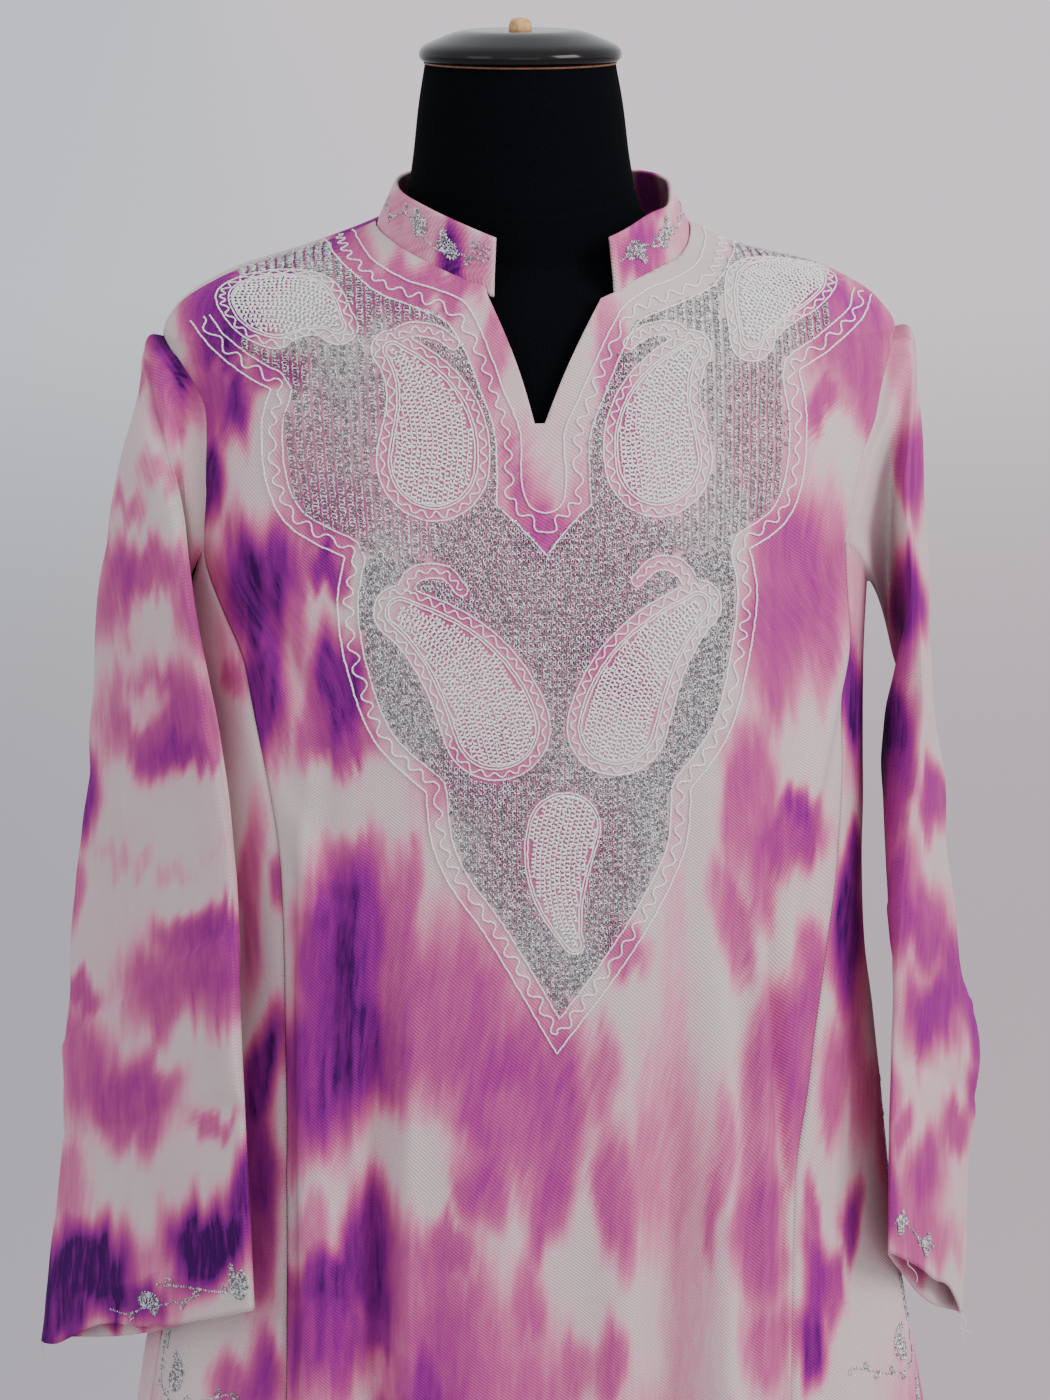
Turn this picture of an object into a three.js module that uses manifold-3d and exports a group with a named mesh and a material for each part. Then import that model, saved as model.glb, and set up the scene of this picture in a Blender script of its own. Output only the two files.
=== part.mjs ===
// A long-sleeved pheran with a split band collar and a V opening, worn by a limbless dress form on its stand.
// Millimetres, +Z up, the front faces -Y, and the floor is z = 0 under the middle of the stand's base.
import * as THREE from "three";
import { mergeVertices } from "three/addons/utils/BufferGeometryUtils.js";
import Module from "manifold-3d";

const wasm = await Module();
wasm.setup();

// Cloth and seams
const clothThickness = 1.6;
const sleeveThickness = 1.3;
const collarThickness = 2.2;
const seamGap = 0.5;

// Heights of the garment
const hemZ = 360;
const underarmZ = 1232;
const underarmDip = 33;
const goreTopGap = 0.9;
const shoulderTipZ = 1338;
const panelTopZ = 1404;
const backTopZ = 1410;

// Neck opening
const neckHalfWidth = 84.5;
const neckHalfDepth = 80.3;
const neckCentre = 4.5;
const vNotchZ = 1301;
const vTopZ = 1369;
const vLeftX = -27;
const vRightX = 34;
const vNotchX = -2;
const vNotchHalfWidth = 1.5;

// In-seam pocket openings
const pocketTopZ = 925;
const pocketBottomZ = 768;
const pocketHalfGap = 6;

// The worn body as rings: half widths to each side, depths to the front and back, how square each half of the ring
// is, and how far back its widest points lie
const bodyRings = [
  { z: 360, left: 272, right: 282, front: 122, back: 148, power: 2.25, backPower: 2.25, centreY: 0 },
  { z: 600, left: 240, right: 250, front: 121, back: 134, power: 2.3, backPower: 2.3, centreY: 0 },
  { z: 754, left: 219, right: 226, front: 119, back: 124, power: 2.3, backPower: 2.3, centreY: 0 },
  { z: 850, left: 204, right: 210, front: 118, back: 118, power: 2.3, backPower: 2.3, centreY: 0 },
  { z: 950, left: 192, right: 198, front: 118, back: 114, power: 2.3, backPower: 2.3, centreY: 0 },
  { z: 1030, left: 187, right: 190, front: 122, back: 112, power: 2.3, backPower: 2.3, centreY: 0 },
  { z: 1150, left: 187, right: 187, front: 128, back: 112, power: 2.25, backPower: 2.3, centreY: 0 },
  { z: 1232, left: 188, right: 190, front: 117, back: 112, power: 2.2, backPower: 2.3, centreY: 0 },
  { z: 1300, left: 183, right: 197, front: 103, back: 107, power: 2, backPower: 2.3, centreY: 4 },
  { z: 1338, left: 187, right: 197, front: 97, back: 96, power: 1.85, backPower: 2.3, centreY: 8 },
  { z: 1354, left: 179, right: 187, front: 94, back: 91, power: 1.75, backPower: 2.2, centreY: 10 },
  { z: 1370, left: 154, right: 161, front: 88, back: 86, power: 1.7, backPower: 2.1, centreY: 10 },
  { z: 1384, left: 112, right: 110, front: 80, back: 78, power: 1.7, backPower: 2, centreY: 10 },
  { z: 1398, left: 80, right: 88, front: 67, back: 65, power: 1.7, backPower: 2, centreY: 9 },
  { z: 1416, left: 46, right: 48, front: 42, back: 42, power: 1.8, backPower: 2, centreY: 8 },
];

// Distance from the middle line to the edge of each centre panel: its gore seam below the underarm, its armhole above
const panelEdges = [
  { z: 360, leftFront: 150, rightFront: 147, leftBack: 150, rightBack: 150 },
  { z: 778, leftFront: 141, rightFront: 138, leftBack: 148, rightBack: 148 },
  { z: 875, leftFront: 139, rightFront: 139, leftBack: 149, rightBack: 149 },
  { z: 930, leftFront: 138, rightFront: 147, leftBack: 150, rightBack: 150 },
  { z: 1005, leftFront: 138, rightFront: 158, leftBack: 152, rightBack: 152 },
  { z: 1063, leftFront: 139, rightFront: 165, leftBack: 156, rightBack: 156 },
  { z: 1170, leftFront: 156, rightFront: 168, leftBack: 164, rightBack: 164 },
  { z: 1232, leftFront: 177, rightFront: 168, leftBack: 172, rightBack: 174 },
  { z: 1270, leftFront: 175, rightFront: 176, leftBack: 173, rightBack: 181 },
  { z: 1300, leftFront: 174, rightFront: 189, leftBack: 174, rightBack: 190 },
  { z: 1338, leftFront: 187, rightFront: 197, leftBack: 187, rightBack: 197 },
];

// Where the side seams run, in degrees round from the front
const sideSeams = [
  { z: 360, turn: 75 },
  { z: 770, turn: 77 },
  { z: 900, turn: 82 },
  { z: 1080, turn: 90 },
  { z: 1404, turn: 90 },
];

// The front panel stands proud between two long folds
const frontPlateau = { lift: 15, startZ: 1150, fullZ: 960, riser: 9 };
const plateauEdges = [
  { z: 360, left: -141, right: 137 },
  { z: 778, left: -132, right: 129 },
  { z: 875, left: -130, right: 127 },
  { z: 1000, left: -129, right: 119 },
  { z: 1150, left: -128, right: 110 },
];

// Long folds of the centre panels: where each runs, how far it stands out or in at the hem, and where it starts
const panelFolds = [
  { face: -1, topX: -84, hemX: -105, lift: -13, width: 11, startZ: 1110, fullZ: 840 },
  { face: -1, topX: -42, hemX: -50, lift: 5, width: 24, startZ: 1060, fullZ: 600 },
  { face: -1, topX: 12, hemX: 14, lift: -6, width: 20, startZ: 960, fullZ: 420 },
  { face: -1, topX: 62, hemX: 68, lift: -7, width: 15, startZ: 1090, fullZ: 600 },
  { face: -1, topX: 92, hemX: 104, lift: 5, width: 16, startZ: 1060, fullZ: 700 },
  { face: 1, topX: -104, hemX: -122, lift: 14, width: 22, startZ: 1200, fullZ: 560 },
  { face: 1, topX: -58, hemX: -64, lift: -13, width: 20, startZ: 1200, fullZ: 520 },
  { face: 1, topX: -4, hemX: -8, lift: 15, width: 25, startZ: 1160, fullZ: 500 },
  { face: 1, topX: 54, hemX: 60, lift: -13, width: 20, startZ: 1200, fullZ: 520 },
  { face: 1, topX: 102, hemX: 118, lift: 14, width: 22, startZ: 1200, fullZ: 560 },
];

// Columns of the front panel between its guide lines, which follow the edges of its two long folds
const frontColumns = [2, 1, 1, 2, 2, 13, 1, 3];
const pleatHalfWidth = 13;

// Folds round the gores, placed by degrees from the front
const goreFolds = [
  { topX: 70, hemX: 55, lift: 12, width: 8, startZ: 900, fullZ: 560 },
  { topX: 80, hemX: 88, lift: 9, width: 9, startZ: 800, fullZ: 400 },
  { topX: 112, hemX: 106, lift: -12, width: 8, startZ: 1150, fullZ: 600 },
  { topX: 132, hemX: 128, lift: 12, width: 9, startZ: 1150, fullZ: 560 },
  { topX: -66, hemX: -54, lift: 12, width: 8, startZ: 880, fullZ: 560 },
  { topX: -80, hemX: -88, lift: 9, width: 9, startZ: 800, fullZ: 400 },
  { topX: -112, hemX: -106, lift: -12, width: 8, startZ: 1150, fullZ: 600 },
  { topX: -132, hemX: -128, lift: 12, width: 9, startZ: 1150, fullZ: 560 },
];

// Each sleeve hangs flat between a fore crease, which runs down from the shoulder, and a rear crease from the
// underarm. Its outer layer bows out by outer towards facing, and its inner layer the other way from tuck by inner,
// both in degrees from +X.
const leftSleeveStations = [
  { at: 0, foreX: -187, foreY: 8, foreZ: 1338, rearX: -188, rearY: 0, rearZ: 1199, outer: 50, facing: 90, inner: 50, tuck: 90 },
  { at: 0.07, foreX: -195, foreY: -10, foreZ: 1311, rearX: -202, rearY: 37, rearZ: 1182, outer: 34, facing: 146, inner: 49, tuck: 107 },
  { at: 0.16, foreX: -190, foreY: -46, foreZ: 1282, rearX: -224, rearY: 42, rearZ: 1128, outer: 23, facing: 176, inner: 12, tuck: 121 },
  { at: 0.28, foreX: -182, foreY: -78, foreZ: 1214, rearX: -238, rearY: 46, rearZ: 1078, outer: 14, facing: 194, inner: 5, tuck: 177 },
  { at: 0.42, foreX: -172, foreY: -93, foreZ: 1138, rearX: -250, rearY: 44, rearZ: 1018, outer: 11, facing: 205, inner: 13, tuck: 178 },
  { at: 0.56, foreX: -163, foreY: -102, foreZ: 1062, rearX: -256, rearY: 38, rearZ: 950, outer: 10, facing: 212, inner: 7, tuck: 212 },
  { at: 0.7, foreX: -162, foreY: -106, foreZ: 985, rearX: -261, rearY: 32, rearZ: 885, outer: 10, facing: 215, inner: 7, tuck: 215 },
  { at: 0.85, foreX: -160, foreY: -110, foreZ: 904, rearX: -269, rearY: 22, rearZ: 822, outer: 10, facing: 220, inner: 7, tuck: 220 },
  { at: 1, foreX: -158, foreY: -112, foreZ: 826, rearX: -277, rearY: 10, rearZ: 760, outer: 10, facing: 225, inner: 7, tuck: 225 },
];
const rightSleeveStations = [
  { at: 0, foreX: 197, foreY: 8, foreZ: 1338, rearX: 190, rearY: 0, rearZ: 1199, outer: 50, facing: 90, inner: 50, tuck: 90 },
  { at: 0.07, foreX: 204, foreY: -14, foreZ: 1309, rearX: 212, rearY: 38, rearZ: 1151, outer: 28, facing: 60, inner: 22, tuck: 59 },
  { at: 0.16, foreX: 204, foreY: -38, foreZ: 1278, rearX: 226, rearY: 54, rearZ: 1128, outer: 10, facing: 18, inner: 28, tuck: 62 },
  { at: 0.28, foreX: 206, foreY: -57, foreZ: 1216, rearX: 238, rearY: 70, rearZ: 1078, outer: 8, facing: -6, inner: 18, tuck: 53 },
  { at: 0.42, foreX: 209, foreY: -67, foreZ: 1140, rearX: 248, rearY: 74, rearZ: 1018, outer: 8, facing: -12, inner: 25, tuck: -12 },
  { at: 0.56, foreX: 199, foreY: -79, foreZ: 1062, rearX: 260, rearY: 66, rearZ: 950, outer: 10, facing: -20, inner: 18, tuck: -20 },
  { at: 0.7, foreX: 195, foreY: -87, foreZ: 988, rearX: 273, rearY: 60, rearZ: 880, outer: 10, facing: -24, inner: 8, tuck: -24 },
  { at: 0.85, foreX: 193, foreY: -93, foreZ: 912, rearX: 269, rearY: 56, rearZ: 806, outer: 10, facing: -24, inner: 5, tuck: -24 },
  { at: 1, foreX: 193, foreY: -97, foreZ: 838, rearX: 266, rearY: 50, rearZ: 736, outer: 10, facing: -24, inner: 4, tuck: -24 },
];

// The band collar by degrees round from the front: how high it stands over the panels and how far its top leans in
const collarProfile = [
  { turn: 0, height: 27, lean: 3 },
  { turn: 50, height: 26, lean: 7 },
  { turn: 90, height: 22, lean: 10 },
  { turn: 135, height: 25, lean: 10 },
  { turn: 180, height: 28, lean: 8 },
];
const collarSink = 0.8;
const collarStartTurn = 25;
const collarEndTurn = 340.5;
const collarWave = { lift: 1.4, waves: 7, centreTurn: 52, spread: 26 };

// Dress form, with its neck a little left of its middle
const formRings = [
  { z: 690, left: 118, right: 118, front: 68, back: 72, power: 2.2 },
  { z: 700, left: 140, right: 140, front: 84, back: 92, power: 2.2 },
  { z: 730, left: 156, right: 156, front: 94, back: 104, power: 2.2 },
  { z: 820, left: 163, right: 163, front: 100, back: 106, power: 2.2 },
  { z: 910, left: 150, right: 150, front: 97, back: 98, power: 2.2 },
  { z: 1000, left: 122, right: 122, front: 92, back: 84, power: 2.15 },
  { z: 1080, left: 136, right: 136, front: 106, back: 90, power: 2.15 },
  { z: 1150, left: 152, right: 152, front: 119, back: 98, power: 2.15 },
  { z: 1230, left: 162, right: 164, front: 109, back: 100, power: 2.1 },
  { z: 1300, left: 163, right: 172, front: 92, back: 97, power: 1.9 },
  { z: 1336, left: 160, right: 178, front: 82, back: 90, power: 1.75 },
  { z: 1351, left: 156, right: 172, front: 78, back: 88, power: 1.65 },
  { z: 1367.2, left: 140, right: 154, front: 70, back: 82, power: 1.6 },
  { z: 1381.4, left: 108, right: 106, front: 60, back: 72, power: 1.65 },
  { z: 1393, left: 76, right: 75, front: 60, back: 68, power: 1.85 },
  { z: 1406, left: 64.5, right: 61.5, front: 60, back: 64, power: 2 },
  { z: 1430, left: 60, right: 56, front: 58, back: 60, power: 2 },
  { z: 1460, left: 56.5, right: 52, front: 55, back: 56, power: 2 },
  { z: 1481.5, left: 53, right: 48, front: 50.5, back: 50.5, power: 2 },
];
const neckCentreX = -2.5;
const capProfile = [
  { radius: 48.5, z: 1481.8 },
  { radius: 52.6, z: 1483 },
  { radius: 53.8, z: 1486.5 },
  { radius: 52, z: 1490 },
  { radius: 43.5, z: 1494 },
  { radius: 36, z: 1497 },
  { radius: 28, z: 1498.6 },
];
const finial = { radius: 6.2, height: 6, gap: 0.3 };
const pole = { radius: 15, bottomZ: 22.3, topZ: 689.7 };
const base = { radius: 180, height: 22, bevel: 6, boss: 34, bossTaper: 6, bossHeight: 12 };

// Mesh density
const backColumns = 20;
const goreColumns = 5;
const sleeveColumns = 20;
const formColumns = 32;
const roundSides = 36;

const colours = { cloth: 0xc58fc4, collar: 0xd9a3c8, form: 0x15171a, cap: 0x08080a, wood: 0xb98b58, steel: 0x2a2b2e };

const radians = (degrees) => (degrees * Math.PI) / 180;
const clamp01 = (value) => Math.min(1, Math.max(0, value));
const smoothStep = (value) => clamp01(value) ** 2 * (3 - 2 * clamp01(value));
const lerp = (from, to, share) => from + (to - from) * share;

// The value of a table's column at a place along its key, on a smooth curve that never overshoots its rows.
function along(table, column, place, key = "z") {
  const last = table.length - 1;
  let row = 0;
  while (row < last - 1 && place > table[row + 1][key]) row += 1;
  const slopeOf = (index) => {
    if (index < 0 || index >= last) return null;
    return (table[index + 1][column] - table[index][column]) / (table[index + 1][key] - table[index][key]);
  };
  const tangent = (index) => {
    const before = slopeOf(index - 1);
    const after = slopeOf(index);
    if (before === null) return after;
    if (after === null) return before;
    return before * after <= 0 ? 0 : (2 * before * after) / (before + after);
  };
  const span = table[row + 1][key] - table[row][key];
  const share = clamp01((place - table[row][key]) / span);
  const square = share * share;
  const cube = square * share;
  return (
    (2 * cube - 3 * square + 1) * table[row][column] +
    (cube - 2 * square + share) * span * tangent(row) +
    (3 * square - 2 * cube) * table[row + 1][column] +
    (cube - square) * span * tangent(row + 1)
  );
}

// Where a fold runs at a height, and how much of its full lift it has there.
const foldMiddle = (fold, z) => lerp(fold.hemX, fold.topX, clamp01((z - hemZ) / (fold.startZ - hemZ)));
const foldGrowth = (fold, z) => smoothStep((fold.startZ - z) / (fold.startZ - fold.fullZ));

// How far the folds lift the worn cloth off its plain ring.
function foldLift(turn, x, z) {
  const face = Math.abs(turn) <= 90 ? -1 : 1;
  let lift = 0;
  if (face < 0) {
    const fromLeft = smoothStep((x - along(plateauEdges, "left", z)) / frontPlateau.riser + 0.5);
    const fromRight = smoothStep((along(plateauEdges, "right", z) - x) / frontPlateau.riser + 0.5);
    lift += frontPlateau.lift * foldGrowth(frontPlateau, z) * fromLeft * fromRight;
  }
  for (const fold of panelFolds) {
    if (fold.face !== face) continue;
    lift += fold.lift * foldGrowth(fold, z) * Math.exp(-(((x - foldMiddle(fold, z)) / fold.width) ** 2));
  }
  for (const fold of goreFolds) {
    lift += fold.lift * foldGrowth(fold, z) * Math.exp(-(((turn - foldMiddle(fold, z)) / fold.width) ** 2));
  }
  return lift;
}

// A point of a ring whose half widths, depths and squareness are given, and its outward direction.
function ringPoint(ring, turn) {
  const across = Math.sin(radians(turn));
  const ahead = Math.cos(radians(turn));
  const halfWidth = across < 0 ? ring.left : ring.right;
  const depth = ahead > 0 ? ring.front : ring.back;
  const power = ahead > 0 ? ring.power : ring.backPower;
  const x = halfWidth * Math.sign(across) * Math.abs(across) ** (2 / power);
  const y = -depth * Math.sign(ahead) * Math.abs(ahead) ** (2 / power);
  const outward = new THREE.Vector3(
    (Math.sign(x) * Math.abs(x / halfWidth) ** (power - 1)) / halfWidth,
    (Math.sign(y) * Math.abs(y / depth) ** (power - 1)) / depth,
    0,
  ).normalize();
  return { x, y: y + ring.centreY, outward };
}

const ringColumns = ["left", "right", "front", "back", "power", "backPower", "centreY"];
const bodyRingAt = (z) => Object.fromEntries(ringColumns.map((name) => [name, along(bodyRings, name, z)]));

// A point on the outside of the worn body. turn is in degrees: 0 in front, 90 at the wearer's left, 180 behind.
function bodyPoint(turn, z) {
  const wrapped = turn > 180 ? turn - 360 : turn < -180 ? turn + 360 : turn;
  const { x, y, outward } = ringPoint(bodyRingAt(z), wrapped);
  return new THREE.Vector3(x, y, z).addScaledVector(outward, foldLift(wrapped, x, z));
}

// The outward normal there, from the points round it, so that pieces that meet at a seam share it.
function bodyNormal(turn, z) {
  const turnStep = 1.2;
  const zStep = 2;
  const round = bodyPoint(turn + turnStep, z).sub(bodyPoint(turn - turnStep, z));
  const upwards = bodyPoint(turn, z + zStep).sub(bodyPoint(turn, z - zStep));
  return round.cross(upwards).normalize();
}

// The turn at which the body is a distance x from the middle line. face is -1 in front and 1 behind.
function turnAtX(x, face, z) {
  const ring = bodyRingAt(z);
  const share = clamp01(Math.abs(x) / (x < 0 ? ring.left : ring.right));
  const power = face < 0 ? ring.power : ring.backPower;
  const turn = (Math.asin(share ** (power / 2)) * 180) / Math.PI;
  return Math.sign(x) * (face < 0 ? turn : 180 - turn);
}

// The turn at which a centre panel ends at a height. side is -1 or 1.
function panelEdgeTurn(side, face, z) {
  if (z >= shoulderTipZ) return 90;
  const column = (side < 0 ? "left" : "right") + (face < 0 ? "Front" : "Back");
  return Math.abs(turnAtX(side * along(panelEdges, column, z), face, z));
}

// Degrees of turn that a length of cloth takes at a place on the body.
function turnOfLength(length, turn, z) {
  const step = 0.5;
  const perDegree = bodyPoint(turn + step, z).distanceTo(bodyPoint(turn - step, z)) / (2 * step);
  return length / Math.max(perDegree, 0.2);
}

// A closed wall from a grid of outer points and the inner points behind them. A round grid joins its last column to
// its first.
function wallGeometry(outer, inner, isRound = false) {
  const rows = outer.length;
  const columns = outer[0].length;
  const points = [...outer.flat(), ...inner.flat()];
  const outerAt = (row, column) => row * columns + (column % columns);
  const innerAt = (row, column) => rows * columns + outerAt(row, column);
  const faces = [];
  const quad = (a, b, c, d) => faces.push(a, b, c, a, c, d);
  const lastColumn = isRound ? columns : columns - 1;
  for (let row = 0; row < rows - 1; row += 1) {
    for (let column = 0; column < lastColumn; column += 1) {
      quad(outerAt(row, column), outerAt(row, column + 1), outerAt(row + 1, column + 1), outerAt(row + 1, column));
      quad(innerAt(row, column), innerAt(row + 1, column), innerAt(row + 1, column + 1), innerAt(row, column + 1));
    }
  }
  for (let column = 0; column < lastColumn; column += 1) {
    quad(innerAt(0, column), innerAt(0, column + 1), outerAt(0, column + 1), outerAt(0, column));
    const top = rows - 1;
    quad(outerAt(top, column + 1), innerAt(top, column + 1), innerAt(top, column), outerAt(top, column));
  }
  if (!isRound) {
    for (let row = 0; row < rows - 1; row += 1) {
      quad(outerAt(row, 0), outerAt(row + 1, 0), innerAt(row + 1, 0), innerAt(row, 0));
      const end = columns - 1;
      quad(innerAt(row, end), innerAt(row + 1, end), outerAt(row + 1, end), outerAt(row, end));
    }
  }
  const geometry = new THREE.BufferGeometry();
  geometry.setAttribute("position", new THREE.Float32BufferAttribute(points.flatMap((p) => p.toArray()), 3));
  geometry.setIndex(faces);
  return geometry;
}

// A wall that follows the body: cell(row, column) gives the turn and height of each of its points.
function bodyWall(rows, columns, cell) {
  const outer = [];
  const inner = [];
  for (let row = 0; row < rows; row += 1) {
    outer.push([]);
    inner.push([]);
    for (let column = 0; column < columns; column += 1) {
      const { turn, z } = cell(row, column);
      const point = bodyPoint(turn, z);
      outer[row].push(point);
      inner[row].push(point.clone().addScaledVector(bodyNormal(turn, z), -clothThickness));
    }
  }
  return wallGeometry(outer, inner);
}

function solidOf(geometry) {
  const bare = geometry.clone();
  bare.deleteAttribute("normal");
  bare.deleteAttribute("uv");
  const merged = mergeVertices(bare, 1e-4);
  return new wasm.Manifold(
    new wasm.Mesh({
      numProp: 3,
      vertProperties: new Float32Array(merged.attributes.position.array),
      triVerts: new Uint32Array(merged.index.array),
    }),
  );
}

function geometryOf(solid) {
  const mesh = solid.getMesh();
  const geometry = new THREE.BufferGeometry();
  geometry.setAttribute("position", new THREE.Float32BufferAttribute(mesh.vertProperties, 3));
  geometry.setIndex(Array.from(mesh.triVerts));
  return geometry;
}

// Rows of heights from the hem up, close together over the shoulder.
function panelHeights(topZ) {
  const heights = [];
  const skirtRows = 15;
  const armholeRows = 5;
  const shoulderRows = 7;
  for (let row = 0; row < skirtRows; row += 1) heights.push(lerp(hemZ, underarmZ, row / skirtRows));
  for (let row = 0; row < armholeRows; row += 1) heights.push(lerp(underarmZ, shoulderTipZ, row / armholeRows));
  for (let row = 0; row <= shoulderRows; row += 1) heights.push(lerp(shoulderTipZ, topZ, row / shoulderRows));
  return heights;
}

// The upright cutter for the neck hole.
function neckCutter() {
  const height = 200;
  const cylinder = new THREE.CylinderGeometry(1, 1, height, 48);
  cylinder.rotateX(Math.PI / 2);
  cylinder.scale(neckHalfWidth, neckHalfDepth, 1);
  cylinder.translate(neckCentre, 0, vNotchZ + height / 2);
  return solidOf(cylinder);
}

// The cutter for the V opening, which runs through the front only.
function vCutter() {
  const outline = new THREE.Shape();
  const aboveZ = 1440;
  outline.moveTo(vNotchX - vNotchHalfWidth, vNotchZ);
  outline.lineTo(vNotchX + vNotchHalfWidth, vNotchZ);
  outline.lineTo(vRightX, vTopZ);
  outline.lineTo(vRightX, aboveZ);
  outline.lineTo(vLeftX, aboveZ);
  outline.lineTo(vLeftX, vTopZ);
  outline.closePath();
  const prism = new THREE.ExtrudeGeometry(outline, { depth: 200, bevelEnabled: false });
  prism.rotateX(Math.PI / 2);
  return solidOf(prism);
}

// Shares of the front panel's width at which its columns stand, the same all the way up above the underarm.
function frontShares(z) {
  const height = Math.min(z, underarmZ);
  const half = frontPlateau.riser / 2;
  const pleatX = foldMiddle(panelFolds[0], height);
  const left = along(plateauEdges, "left", height);
  const right = along(plateauEdges, "right", height);
  const guides = [left - half, left + half, pleatX - pleatHalfWidth, pleatX, pleatX + pleatHalfWidth];
  guides.push(right - half, right + half);
  const start = -panelEdgeTurn(-1, -1, height);
  const end = panelEdgeTurn(1, -1, height);
  const turns = [start, ...guides.map((x) => turnAtX(x, -1, height)), end];
  const shares = [];
  frontColumns.forEach((count, index) => {
    for (let step = 0; step < count; step += 1) {
      const turn = lerp(turns[index], turns[index + 1], step / count);
      shares.push((turn - start) / (end - start));
    }
  });
  return [...shares, 1];
}

// The front panel from hem to shoulder seam, with its neck hole and V opening cut out.
function frontPanel() {
  const heights = panelHeights(panelTopZ);
  const sharesAt = heights.map((z) => frontShares(z));
  const wall = bodyWall(heights.length, sharesAt[0].length, (row, column) => {
    const z = heights[row];
    const start = -panelEdgeTurn(-1, -1, z);
    const end = panelEdgeTurn(1, -1, z);
    const from = start + turnOfLength(seamGap / 2, start, z);
    const to = end - turnOfLength(seamGap / 2, end, z);
    return { turn: lerp(from, to, sharesAt[row][column]), z };
  });
  return geometryOf(solidOf(wall).subtract(neckCutter()).subtract(vCutter()));
}

// The back panel from hem to shoulder seam, with its neck hole cut out.
function backPanel() {
  const heights = panelHeights(backTopZ);
  const wall = bodyWall(heights.length, backColumns + 1, (row, column) => {
    const z = heights[row];
    const start = panelEdgeTurn(1, 1, z);
    const end = 360 - panelEdgeTurn(-1, 1, z);
    const from = start + turnOfLength(seamGap / 2, start, z);
    const to = end - turnOfLength(seamGap / 2, end, z);
    return { turn: lerp(from, to, column / backColumns), z };
  });
  return geometryOf(solidOf(wall).subtract(neckCutter()));
}

// The height of a gore's top edge: it dips from the panel seam to the lowest point of the armhole.
function goreTopZ(share) {
  return underarmZ - underarmDip * Math.sin(radians(90 * share));
}

// A gore between a centre panel and the side seam, with its half of the pocket opening.
function gore(side, face) {
  const rows = 15;
  return bodyWall(rows + 1, goreColumns + 1, (row, column) => {
    const share = side * face < 0 ? 1 - column / goreColumns : column / goreColumns;
    const z = lerp(hemZ, goreTopZ(1 - share) - goreTopGap, row / rows);
    const seamTurn = along(sideSeams, "turn", z);
    const panelTurn = panelEdgeTurn(side, face, z);
    const opening = clamp01((z - pocketBottomZ) / (pocketTopZ - pocketBottomZ));
    const gap = Math.max(seamGap / 2, pocketHalfGap * Math.sin(Math.PI * opening));
    const atPanel = panelTurn - face * turnOfLength(seamGap / 2, side * panelTurn, z);
    const atSeam = seamTurn + face * turnOfLength(gap, side * seamTurn, z);
    return { turn: side * lerp(atSeam, atPanel, share), z };
  });
}

// The first ring of a sleeve: share runs from the shoulder tip, down the back, and up the front. It meets the panels
// edge to edge and stands just over the gores.
function armholeEdge(side, share) {
  const upright = 0.25;
  const cornerShare = 0.35;
  const face = share <= 0.5 ? 1 : -1;
  const down = share <= 0.5 ? share * 2 : (1 - share) * 2;
  if (down <= 2 * upright) {
    const z = lerp(shoulderTipZ, underarmZ, down / (2 * upright));
    const turn = side * panelEdgeTurn(side, face, z);
    const normal = bodyNormal(turn, z);
    const away = new THREE.Vector3(side, 0, 0).addScaledVector(normal, -side * normal.x).normalize();
    const point = bodyPoint(turn, z).addScaledVector(away, seamGap / 2);
    return { point, normal };
  }
  const inwards = (down - 2 * upright) / (1 - 2 * upright);
  const z = goreTopZ(inwards);
  const panelTurn = panelEdgeTurn(side, face, underarmZ);
  const turn = side * lerp(panelTurn, 90, inwards);
  const normal = bodyNormal(turn, z).lerp(new THREE.Vector3(0, 0, -1), Math.min(1, inwards / cornerShare));
  return { point: bodyPoint(turn, z), normal: normal.normalize() };
}

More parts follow.
